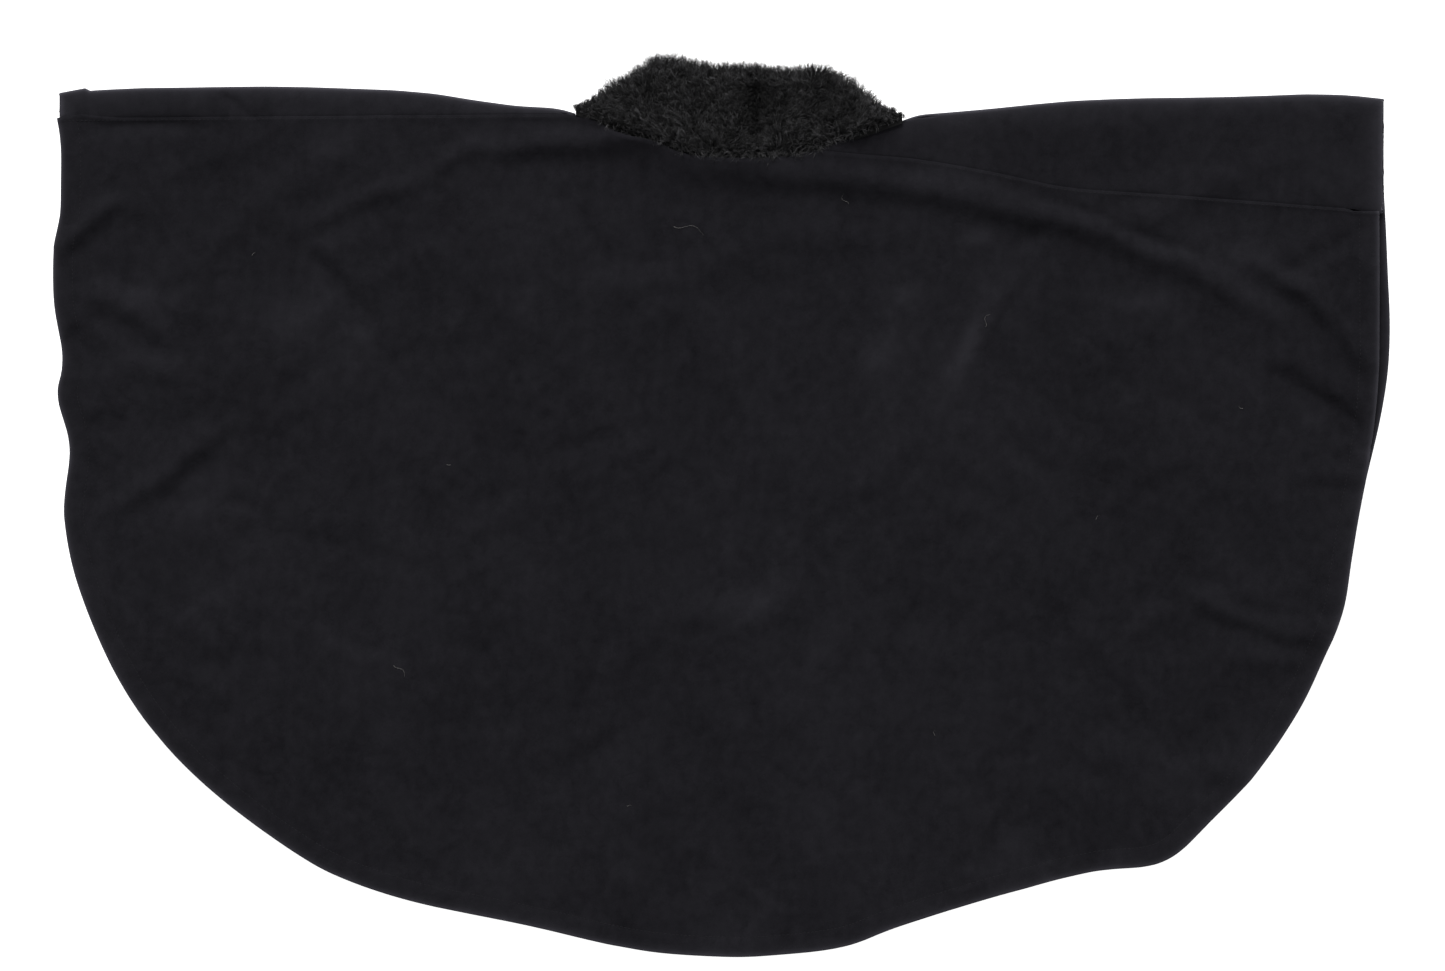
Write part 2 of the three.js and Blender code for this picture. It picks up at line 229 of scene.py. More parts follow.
def grid_faces(rows: int, columns: int, flip: bool = False, start: int = 0) -> Array:
    """Four-sided faces of a grid whose points are numbered row by row."""
    corner = start + np.arange(rows - 1)[:, None] * columns + np.arange(columns - 1)[None]
    faces = np.stack([corner, corner + 1, corner + columns + 1, corner + columns], axis=-1)
    faces = faces.reshape(-1, 4)
    return faces[:, ::-1] if flip else faces


def triangles(quads: Array) -> Array:
    """Two triangles for each four-sided face."""
    return np.concatenate([quads[:, [0, 1, 2]], quads[:, [0, 2, 3]]])


def build_mesh(name: str, points: Array, faces: Array) -> Piece:
    """Makes an object at the origin from arrays.

    Args:
        name: the piece's name.
        points: points in millimetres, one row each.
        faces: point numbers of each face, all with the same number of corners.

    Returns:
        The new object, smooth shaded.
    """
    mesh = bpy.data.meshes.new(name)
    count, sides = faces.shape
    mesh.vertices.add(len(points))
    mesh.vertices.foreach_set("co", (points * MM).astype(np.float32).ravel())
    mesh.loops.add(count * sides)
    mesh.loops.foreach_set("vertex_index", faces.astype(np.int32).ravel())
    mesh.polygons.add(count)
    mesh.polygons.foreach_set("loop_start", np.arange(count, dtype=np.int32) * sides)
    mesh.polygons.foreach_set("use_smooth", np.ones(count, bool))
    mesh.update(calc_edges=True)
    mesh.validate()
    piece = bpy.data.objects.new(name, mesh)
    bpy.context.scene.collection.objects.link(piece)
    return piece


def weld(piece: Piece, distance: float = 0.02) -> None:
    """Joins points of a mesh that lie within a distance, in millimetres."""
    work = bmesh.new()
    work.from_mesh(piece.data)
    bmesh.ops.remove_doubles(work, verts=work.verts, dist=distance * MM)
    work.to_mesh(piece.data)
    work.free()


def set_field(piece: Piece, name: str, values: Array) -> None:
    """Stores one number for each point of a mesh, for its material to read."""
    layer = piece.data.attributes.new(name, "FLOAT", "POINT")
    layer.data.foreach_set("value", values.astype(np.float32).ravel())


def points_of(piece: Piece) -> Array:
    """A mesh's points in millimetres."""
    co = np.empty(len(piece.data.vertices) * 3, np.float32)
    piece.data.vertices.foreach_get("co", co)
    return co.reshape(-1, 3).astype(float) / MM


def thicken(piece: Piece, thickness: float) -> None:
    """Gives a sheet its thickness in millimetres, half on each side."""
    solid = piece.modifiers.new("thickness", "SOLIDIFY")
    solid.thickness, solid.offset = thickness * MM, 0.0
    with bpy.context.temp_override(object=piece, active_object=piece, selected_objects=[piece]):
        bpy.ops.object.modifier_apply(modifier="thickness")


def sweep(name: str, line: Array, heights: Array, width: float,
          thickness: float) -> Piece:
    """A flat band with rounded edges along a line.

    The section is a squared circle: each point at angle a is the cosine and sine of a raised to a
    power under one, scaled to the half width and half thickness.

    Args:
        line: middle of the band, seen from above.
        heights: middle height at each point.
        width: width of the band.
        thickness: its thickness.

    Returns:
        The closed band.
    """
    turn = np.arange(BAND_SIDES)
    angle = turn * math.tau / BAND_SIDES
    square = lambda t, power: np.sign(t) * np.abs(t) ** power
    across = square(np.cos(angle), 0.35) * width / 2
    rise = square(np.sin(angle), 0.7) * thickness / 2
    ring = line[:, None, :] + inward(line)[:, None, :] * across[None, :, None]
    height = heights[:, None] + rise[None]
    points = np.concatenate([ring, height[..., None]], axis=-1).reshape(-1, 3)
    start = np.arange(len(line) - 1)[:, None] * BAND_SIDES
    here, beside = start + turn, start + (turn + 1) % BAND_SIDES
    wall = np.stack([here, beside, beside + BAND_SIDES, here + BAND_SIDES], axis=-1)
    fan = np.stack([np.zeros_like(turn[2:]), turn[1:-1], turn[2:]], axis=1)
    caps = np.concatenate([fan[:, ::-1], fan + (len(line) - 1) * BAND_SIDES])
    faces = np.concatenate([triangles(wall.reshape(-1, 4)), caps])
    return build_mesh(name, points, faces[:, ::-1])


def strands(name: str, middles: Array, radii: Array, tones: Array) -> Piece:
    """Fine tapered hairs as one mesh.

    Each hair is three-sided round its middle line and narrows to a point: its radius at share t of
    its length is the full radius times one less the taper times t.

    Args:
        name: the piece's name.
        middles: points of each hair's middle line, by hair, position and coordinate.
        radii: radius of each hair at its root.
        tones: from 0 to 1, how light each hair is.

    Returns:
        The mesh, with a tone stored at each point.
    """
    count, steps = middles.shape[:2]
    levels = steps - 1
    along = middles[:, -1] - middles[:, 0]
    along /= np.linalg.norm(along, axis=1, keepdims=True) + 1e-9
    spare = np.where(np.abs(along[:, 2:3]) > 0.9, [[1.0, 0.0, 0.0]], [[0.0, 0.0, 1.0]])
    first = np.cross(along, spare)
    first /= np.linalg.norm(first, axis=1, keepdims=True)
    second = np.cross(along, first)
    share = np.arange(levels) / levels
    size = radii[:, None] * (1 - HAIR_TAPER * share)[None]
    turn = np.arange(3)[None, :, None] * math.tau / 3
    ring = np.cos(turn) * first[:, None] + np.sin(turn) * second[:, None]
    body = middles[:, :levels, None, :] + size[..., None, None] * ring[:, None]
    points = np.concatenate([body.reshape(count, levels * 3, 3), middles[:, -1:]], axis=1)
    per = levels * 3 + 1
    faces = [[0, 2, 1]]
    for level in range(levels - 1):
        for k in range(3):
            a, b = level * 3 + k, level * 3 + (k + 1) % 3
            faces += [[a, b, b + 3], [a, b + 3, a + 3]]
    top = (levels - 1) * 3
    faces += [[top + k, top + (k + 1) % 3, per - 1] for k in range(3)]
    every = (np.arange(count)[:, None, None] * per + np.array(faces)[None]).reshape(-1, 3)
    piece = build_mesh(name, points.reshape(-1, 3), every)
    # Each hair is darker towards its root: painted shade among the roots.
    fade = np.concatenate([np.repeat(share, 3), [1.0]])
    set_field(piece, "tone", np.clip(tones[:, None] * (0.55 + 0.45 * fade)[None], 0, 1))
    return piece


def polygon_area(loop: Array) -> float:
    """Area inside a closed outline, in square metres, positive when it runs anticlockwise."""
    x, y = loop[:, 0], loop[:, 1]
    return float(np.sum(x * np.roll(y, -1) - y * np.roll(x, -1)) / 2) * MM * MM


# ---- Finishes ------------------------------------------------------------------------------------


class Nodes:
    """Short-hand for building a material's nodes."""

    def __init__(self, name: str) -> None:
        """Starts a material with a Principled shader."""
        self.material = bpy.data.materials.new(name)
        self.material.use_nodes = True
        self.tree = self.material.node_tree
        self.shader = self.tree.nodes["Principled BSDF"]

    def add(self, kind: str, inputs: dict | None = None, **settings: object) -> bpy.types.Node:
        """Adds a node, sets its properties, and fills or links its inputs."""
        node = self.tree.nodes.new(kind)
        for key, value in settings.items():
            setattr(node, key, value)
        for key, value in (inputs or {}).items():
            self.put(node.inputs[key], value)
        return node

    def put(self, socket: Socket, value: object) -> None:
        """Sets a socket to a value, or links it to another node's socket."""
        if isinstance(value, Socket):
            self.tree.links.new(value, socket)
        else:
            socket.default_value = value

    def place(self, stretch: tuple[float, float, float] = (1, 1, 1)) -> Socket:
        """Object coordinates, stretched along each axis."""
        where = self.add("ShaderNodeTexCoord").outputs["Object"]
        return self.add("ShaderNodeMapping", {"Vector": where, "Scale": stretch}).outputs[0]

    def noise(self, scale: float, detail: float = 2.0, rough: float = 0.5,
              stretch: tuple[float, float, float] = (1, 1, 1)) -> Socket:
        """Noise from 0 to 1 with a number of blobs to the metre."""
        node = self.add("ShaderNodeTexNoise", {"Vector": self.place(stretch), "Scale": scale,
                                               "Detail": detail, "Roughness": rough})
        return node.outputs[0]

    def math(self, kind: str, a: object, b: object = 0.0) -> Socket:
        """One sum on two numbers or sockets."""
        return self.add("ShaderNodeMath", {0: a, 1: b}, operation=kind).outputs[0]

    def ease(self, value: object, low: float, high: float, first: float, last: float) -> Socket:
        """Eases from one number to another while a value goes from low to high."""
        inputs = {"Value": value, "From Min": low, "From Max": high, "To Min": first,
                  "To Max": last}
        return self.add("ShaderNodeMapRange", inputs, interpolation_type="SMOOTHSTEP").outputs[0]

    def threads(self, scale: float, way: str) -> Socket:
        """Even bands across the object that stand for threads, running X, Y or DIAGONAL."""
        inputs = {"Vector": self.place(), "Scale": scale}
        return self.add("ShaderNodeTexWave", inputs, bands_direction=way).outputs["Fac"]

    def between(self, share: object, low: tuple, high: tuple) -> Socket:
        """A colour between two, by a share from 0 to 1."""
        ramp = self.add("ShaderNodeValToRGB", {"Fac": share})
        ramp.color_ramp.elements[0].color = (*low, 1.0)
        ramp.color_ramp.elements[1].color = (*high, 1.0)
        return ramp.outputs[0]

    def bump(self, height: object, strength: float, depth: float,
             below: object | None = None) -> Socket:
        """Surface relief of a depth in millimetres, on top of another relief."""
        inputs = {"Height": height, "Strength": strength, "Distance": depth * MM}
        if below is not None:
            inputs["Normal"] = below
        return self.add("ShaderNodeBump", inputs).outputs[0]

    def shade(self, **values: object) -> bpy.types.Material:
        """Fills the Principled shader's sockets, named with underscores."""
        for key, value in values.items():
            self.put(self.shader.inputs[key.replace("_", " ")], value)
        return self.material


@dataclass(frozen=True)
class Fleece:
    """Brushed black fleece: soft mottled nap over a fine pile."""

    dark: tuple = (0.0048, 0.0046, 0.0059)
    light: tuple = (0.0840, 0.0815, 0.0975)
    spread: float = 0.16

    def material(self) -> bpy.types.Material:
        """Nap patches from two sizes of noise and the piece's own nap field, over pile relief; the
        nap field carries painted rim light along folded edges, and crinkle lines are darkened as
        painted shade in small creases.
        """
        n = Nodes("fleece")
        # The nap attribute holds the nap field and the painted rim light along folded edges.
        nap = n.add("ShaderNodeAttribute", attribute_name="nap").outputs["Fac"]
        patches = n.noise(11.0, 3.0, 0.55, (1.0, 0.8, 1.0))
        mottle = n.noise(85.0, 4.0, 0.62, (1.0, 0.75, 1.0))
        pile = n.noise(1300.0, 2.0, 0.6)
        wide = self.crinkle(n, 22.0, 0.11, (1.0, 0.8, 1.0))
        narrow = self.crinkle(n, 58.0, 0.12, (0.8, 1.0, 1.0))
        tone = 0.5
        for source, weight in ((patches, 0.3), (mottle, 0.75), (pile, 1.1)):
            tone = n.math("ADD", tone, n.math("MULTIPLY", n.math("SUBTRACT", source, 0.5), weight))
        # The crinkle lines also darken the colour: painted shade in the small creases.
        for line, weight in ((wide, 0.09), (narrow, 0.05)):
            tone = n.math("SUBTRACT", tone, n.math("MULTIPLY", line, weight))
        tone = n.math("MULTIPLY", n.math("ADD", tone, nap), self.spread)
        relief = None
        for height, strength, depth in ((n.math("SUBTRACT", 1.0, wide), 0.8, 0.42),
                                        (n.math("SUBTRACT", 1.0, narrow), 0.7, 0.16),
                                        (mottle, 0.8, 0.9), (pile, 0.4, 0.2)):
            relief = n.bump(height, strength, depth, relief)
        return n.shade(Base_Color=n.between(tone, self.dark, self.light), Roughness=0.92,
                       Specular_IOR_Level=0.05, Sheen_Weight=0.16, Sheen_Roughness=0.30,
                       Sheen_Tint=(0.80, 0.80, 0.92, 1.0), Normal=relief)

    @staticmethod
    def crinkle(n: Nodes, scale: float, width: float,
                stretch: tuple[float, float, float]) -> Socket:
        """Thin wandering lines: where a noise passes its middle value, kept to some places only.

        Args:
            n: the material being built.
            scale: noise blobs to the metre.
            width: how far from the middle value a line fades out.
            stretch: stretch of the noise along each axis.

        Returns:
            A share that is 1 on a line and 0 away from it.
        """
        off = n.math("ABSOLUTE", n.math("SUBTRACT", n.noise(scale, 2.0, 0.5, stretch), 0.5))
        line = n.ease(off, 0.0, width, 1.0, 0.0)
        some = n.ease(n.noise(scale * 0.4, 1.0), 0.42, 0.62, 0.0, 1.0)
        return n.math("MULTIPLY", line, some)


@dataclass(frozen=True)
class Fur:
    """Black fur: each hair takes its lightness from its own tone."""

    dark: tuple = (0.0010, 0.0010, 0.0012)
    light: tuple = (0.120, 0.118, 0.124)

    def material(self) -> bpy.types.Material:
        """Colour from the hair's tone with a glossy, fairly rough shader."""
        n = Nodes("fur")
        tone = n.add("ShaderNodeAttribute", attribute_name="tone").outputs["Fac"]
        uneven = n.math("MULTIPLY", n.math("SUBTRACT", n.noise(160.0), 0.5), 0.35)
        tone = n.math("ADD", tone, uneven)
        return n.shade(Base_Color=n.between(tone, self.dark, self.light), Roughness=0.5,
                       Specular_IOR_Level=0.4)


@dataclass(frozen=True)
class Cloth:
    """Plain woven or knitted black cloth with a fine thread pattern."""

    name: str
    dark: tuple
    light: tuple
    roughness: float
    threads: float

    def material(self) -> bpy.types.Material:
        """Two crossing sets of fine threads with soft uneven colour."""
        n = Nodes(self.name)
        weave = n.math("MULTIPLY", n.threads(self.threads, "X"), n.threads(self.threads, "Y"))
        tone = n.math("ADD", n.math("MULTIPLY", weave, 0.4), n.math("MULTIPLY", n.noise(60.0), 0.6))
        return n.shade(Base_Color=n.between(tone, self.dark, self.light), Roughness=self.roughness,
                       Specular_IOR_Level=0.3, Normal=n.bump(weave, 0.5, 0.12))


@dataclass(frozen=True)
class Thread:
    """Twisted sewing thread with a slight sheen."""

    name: str = "thread"
    colour: tuple = (0.0125, 0.0120, 0.0145)
    pale: tuple = (0.0200, 0.0195, 0.0225)

    def material(self) -> bpy.types.Material:
        """Slanting strands of the twist as colour and relief."""
        n = Nodes(self.name)
        twist = n.threads(420.0, "DIAGONAL")
        return n.shade(Base_Color=n.between(twist, self.colour, self.pale), Roughness=0.7,
                       Specular_IOR_Level=0.12, Normal=n.bump(twist, 0.4, 0.08))


@dataclass(frozen=True)
class PlatedWire:
    """Nickel-plated steel with faint rubbing marks."""

    colour: tuple = (0.33, 0.33, 0.34)
    worn: tuple = (0.42, 0.41, 0.40)

    def material(self) -> bpy.types.Material:
        """Metal whose colour and roughness vary a little along the wire."""
        n = Nodes("nickel")
        rub = n.noise(700.0, 3.0)
        rough = n.add("ShaderNodeMapRange", {"Value": rub, "To Min": 0.22, "To Max": 0.42})
        return n.shade(Base_Color=n.between(rub, self.colour, self.worn), Metallic=1.0,
                       Roughness=rough.outputs[0], Normal=n.bump(rub, 0.15, 0.03))


def dress(piece: Piece, material: bpy.types.Material) -> Piece:
    """Gives a piece one material."""
    piece.data.materials.clear()
    piece.data.materials.append(material)
    return piece


# ---- Cut lines, read from the frame --------------------------------------------------------------


def node_triangles(node: str) -> tuple[Array, Array]:
    """A CAD node's points in millimetres and its triangles."""
    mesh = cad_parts[node].data
    mesh.calc_loop_triangles()
    faces = np.empty(len(mesh.loop_triangles) * 3, np.int32)
    mesh.loop_triangles.foreach_get("vertices", faces)
    return points_of(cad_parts[node]), faces.reshape(-1, 3)


def level_loop(node: str, height: float) -> Array:
    """Outline of a CAD node's flat face at one height.

    The triangles that lie at the height are gathered; an edge used in only one direction belongs to
    the outline, and those edges are followed round.

    Args:
        node: the node's name.
        height: height of the flat face.

    Returns:
        Points of the outline, anticlockwise from above.
    """
    points, faces = node_triangles(node)
    spots, index = np.unique(np.round(points, 2), axis=0, return_inverse=True)
    faces = index.reshape(-1)[faces]
    flat = faces[(np.abs(spots[faces][:, :, 2] - height) < 0.03).all(axis=1)]
    edges = np.concatenate([flat[:, [0, 1]], flat[:, [1, 2]], flat[:, [2, 0]]])
    known = {(int(a), int(b)) for a, b in edges}
    onward = {a: b for a, b in known if (b, a) not in known}
    start = min(onward)
    loop, here = [start], onward[start]
    while here != start:
        loop.append(here)
        here = onward[here]
    outline = spots[loop][:, :2]
    return outline if polygon_area(outline) > 0 else outline[::-1]


def between_corners(loop: Array, first: int, last: int) -> Array:
    """Part of a closed outline from one point to another, going anticlockwise."""
    return np.roll(loop, -first, axis=0)[: (last - first) % len(loop) + 1]


@dataclass
class CutLines:
    """Edges of the sewn pieces as the frame has them, seen from above."""

    hem: Array = field(init=False)
    top: Array = field(init=False)
    neck_left: float = field(init=False)
    neck_right: float = field(init=False)
    margins: tuple = (30.0, 1.0)

    def __post_init__(self) -> None:
        """Reads the back panel's hem, from shoulder to shoulder, and its top edge."""
        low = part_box("back_panel")[0].z / MM
        loop = level_loop("back_panel", low)
        left = int(np.argmax(loop[:, 1] - loop[:, 0]))
        right = int(np.argmax(loop[:, 1] + loop[:, 0]))
        self.hem = between_corners(loop, left, right)
        self.top = between_corners(loop, right, left)[::-1]
        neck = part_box("neck_binding")
        self.neck_left = neck[0].x / MM - self.margins[0]
        self.neck_right = neck[1].x / MM + self.margins[1]

    def top_height(self, x: Array) -> Array:
        """Y of the back panel's top edge at each X."""
        order = np.argsort(self.top[:, 0])
        return np.interp(x, self.top[order, 0], self.top[order, 1])


# ---- The lie of the cloth ------------------------------------------------------------------------


@dataclass(frozen=True)
class Crease:
    """One ridge of cloth, or with a negative height one furrow, along a crest line."""

    crest: tuple[tuple[float, float], ...]
    height: float
    above: float
    below: float

    def lift(self, x: Array, y: Array) -> Array:
        """Height of the ridge at each place.

        The nearest point of the smoothed crest gives a distance and a side. The height falls off
        from the crest as a bell curve, with a width for each side, and eases to nothing towards
        both ends.
        """
        line = soften(np.array(self.crest, float), 6.0, 26.0)
        out = np.zeros_like(x)
        reach = 2.6 * max(self.above, self.below)
        low, high = line.min(axis=0) - reach, line.max(axis=0) + reach
        near = (x > low[0]) & (x < high[0]) & (y > low[1]) & (y < high[1])
        if not near.any():
            return out
        gap = np.stack([x[near], y[near]], axis=1)[:, None] - line[None]
        nearest = np.argmin((gap**2).sum(axis=2), axis=1)
        pick = gap[np.arange(len(nearest)), nearest]
        side = (pick * inward(line)[nearest]).sum(axis=1)
        far = np.linalg.norm(pick, axis=1)
        width = np.where(side > 0, self.above, self.below)
        share = nearest / (len(line) - 1)
        ease = np.sin(np.pi * share) ** 0.7
        out[near] = self.height * bell(far, width) * ease
        return out


NAMED_CREASES = (
    # the long rolled fold from under the collar to the right edge, and the furrow beside it
    Crease(((-60, 345), (-17, 337), (68, 330), (143, 321), (193, 315), (268, 300), (343, 283),
            (393, 267), (443, 247), (483, 231), (508, 216), (543, 190), (578, 163), (610, 134)),
           8.5, 16.0, 11.5),
    Crease(((280, 318), (303, 311), (348, 296), (393, 281), (443, 261), (493, 239)),
           -4.6, 6.5, 6.5),
    # the folds below the right shoulder's outer end
    Crease(((505, 250), (543, 236), (588, 206), (633, 156), (652, 132)), 8.0, 12.0, 9.0),
    Crease(((545, 160), (570, 150), (612, 113), (645, 84)), 4.0, 14.0, 10.0),
    Crease(((550, 138), (563, 130), (603, 95), (633, 70), (650, 50)), -6.5, 10.0, 10.0),
    Crease(((376, 172), (383, 158), (408, 118), (414, 104)), -4.5, 8.0, 8.0),
    Crease(((500, 60), (540, 10), (560, -40)), 1.8, 20.0, 17.0),
    Crease(((440, -72), (505, -112), (560, -128), (625, -136)), 5.4, 13.0, 8.0),
    Crease(((480, -130), (540, -160), (590, -150)), 2.2, 16.0, 12.0),
    # below the left shoulder
    Crease(((-635, 374), (-618, 376), (-535, 381), (-510, 379)), -3.4, 7.5, 7.5),
    Crease(((-512, 410), (-505, 406), (-472, 392), (-462, 386)), -3.0, 7.0, 7.0),
    Crease(((-664, 252), (-652, 264), (-612, 299), (-596, 309)), 6.0, 10.0, 8.5),
    Crease(((-480, 284), (-455, 302), (-400, 340), (-351, 372), (-330, 382)), 3.0, 16.0, 17.0),
    Crease(((-430, 276), (-404, 287), (-360, 304), (-313, 321), (-290, 330)), 3.4, 9.0, 8.0),
    Crease(((-262, 352), (-231, 357), (-150, 362), (-84, 366), (-60, 362)), 7.0, 11.0, 10.0),
    Crease(((-298, 322), (-289, 333), (-255, 354), (-240, 362)), 4.2, 8.0, 8.0),
    Crease(((-424, 266), (-414, 252), (-379, 209), (-343, 165), (-334, 150)), -6.0, 9.0, 9.0),
    Crease(((-220, 196), (-212, 180), (-178, 122), (-170, 106)), -3.8, 8.0, 8.0),
    Crease(((-172, 322), (-162, 308), (-112, 246), (-100, 232)), -3.6, 8.0, 8.0),
    Crease(((-182, 304), (-120, 262), (-70, 222), (-8, 166), (30, 120)), 1.8, 24.0, 17.0),
    # the left edge
    Crease(((-632, 222), (-612, 206), (-560, 169), (-540, 158)), 5.6, 13.0, 9.5),
    Crease(((-650, 178), (-641, 163), (-624, 113), (-620, 100)), -4.6, 8.0, 8.0),
    Crease(((-632, 88), (-620, 85), (-600, 79), (-588, 76)), -4.5, 11.0, 11.0),
    Crease(((-450, 98), (-440, 105), (-411, 130), (-400, 142)), -3.6, 8.0, 8.0),
    Crease(((-618, -14), (-594, 4), (-552, 34), (-510, 66), (-484, 86)), 4.2, 12.0, 7.5),
    Crease(((-598, -20), (-583, -12), (-499, 50), (-486, 60)), -1.6, 7.0, 7.0),
    Crease(((-506, 1), (-493, 0), (-464, 0), (-450, 2)), -3.2, 7.0, 7.0),
    Crease(((-628, 8), (-624, -22), (-617, -70), (-600, -116), (-590, -138)), 6.0, 9.0, 8.0),
    Crease(((-186, 46), (-172, 50), (-118, 66), (-104, 70)), -3.8, 8.0, 8.0),
    Crease(((-300, 120), (-330, 60), (-380, 20)), 1.6, 22.0, 17.0),
    Crease(((-560, 332), (-500, 350), (-440, 378), (-400, 388)), 1.8, 9.0, 8.0),
    Crease(((-540, 226), (-500, 262), (-470, 300)), 2.2, 9.0, 8.0),
    Crease(((-300, 268), (-262, 236), (-238, 204)), 2.0, 8.0, 8.0),
    Crease(((486, -52), (512, -84), (556, -104)), 2.4, 9.0, 7.0),
    Crease(((-530, -100), (-512, -140), (-480, -168)), 1.6, 9.0, 8.0),
)


@dataclass
class Drape:
    """How the upper cloth lies: named creases, loose wrinkles and slow waves."""

    cut: CutLines
    wrinkles: int = 190
    nape: tuple = (0.0, 420.0)
    warp: float = 3.5
    seed: int = 11
    creases: list[Crease] = field(init=False)

    def __post_init__(self) -> None:
        """Adds seeded short wrinkles that run roughly away from the nape."""
        rng = np.random.default_rng(self.seed)
        self.creases = list(NAMED_CREASES)
        for _ in range(self.wrinkles):
            start = np.array([rng.uniform(-600, 600), rng.uniform(-400, 330)])
            away = start - np.array(self.nape)
            heading = math.atan2(away[1], away[0]) + rng.normal(0, 0.8)
            length, bend = rng.uniform(50, 230), rng.normal(0, 0.5)
            turn = heading + bend * np.linspace(0, 1, 5)
            steps = np.stack([np.cos(turn), np.sin(turn)], axis=1) * length / 4
            line = start + np.concatenate([[[0, 0]], np.cumsum(steps[:-1], axis=0)])
            width = rng.uniform(8, 20)
            height = width * rng.uniform(0.05, 0.19) * (1 if rng.random() < 0.55 else -1)
            self.creases.append(Crease(tuple(map(tuple, line)), height, width, width * 0.7))

    def lift(self, x: Array, y: Array) -> Array:
        """How far the upper cloth stands above its lowest level at each place."""
        shape = x.shape
        x, y = x.ravel(), y.ravel()
        total = np.zeros_like(x)
        across = x + self.warp * value_noise(x, y, 37.0, 13)
        up = y + self.warp * value_noise(x, y, 31.0, 14)
        for crease in self.creases:
            total += crease.lift(across, up)
        waves = value_noise(x, y, 150.0, 3) * 1.1 + value_noise(x, y, 61.0, 4) * 0.55
        waves += value_noise(x + 0.6 * y, y - 0.3 * x, 27.0, 5) * 0.25
        total += waves + 3.0
        below_neck = np.clip(self.cut.top_height(x) - y, -60, None)
        middle = smoothstep((x - self.cut.neck_left) / 60)
        middle = middle * smoothstep((self.cut.neck_right + 60 - x) / 60)
        total += 7.5 * bell(below_neck, 26.0) * middle
        return np.maximum(total, 0.0).reshape(shape)


# ---- Fleece panels -------------------------------------------------------------------------------


def with_height(flat: Array, height: Array) -> Array:
    """Points seen from above, with their height added as the last coordinate."""
    return np.concatenate([flat, height[..., None]], axis=-1)


def fleece_sheet(name: str, blocks: list[Array], edge_light: list[Array]) -> Piece:
    """Joins grids of points into one welded and thickened sheet that carries its nap and its
    painted rim light.

    Args:
        name: the piece's name.
        blocks: grids of points, by row, column and coordinate.
        edge_light: the painted rim light added to the nap at each point of each grid.

    Returns:
        The sheet.
    """
    points = np.concatenate([block.reshape(-1, 3) for block in blocks])
    starts = np.cumsum([0] + [block[..., 0].size for block in blocks])
    faces = [grid_faces(*block.shape[:2], start=start) for block, start in zip(blocks, starts)]
    piece = build_mesh(name, points, np.concatenate(faces))
    light = np.concatenate([share.ravel() for share in edge_light])
    set_field(piece, "nap", nap_field(points) + light)
    weld(piece)
    thicken(piece, CLOTH)
    return piece


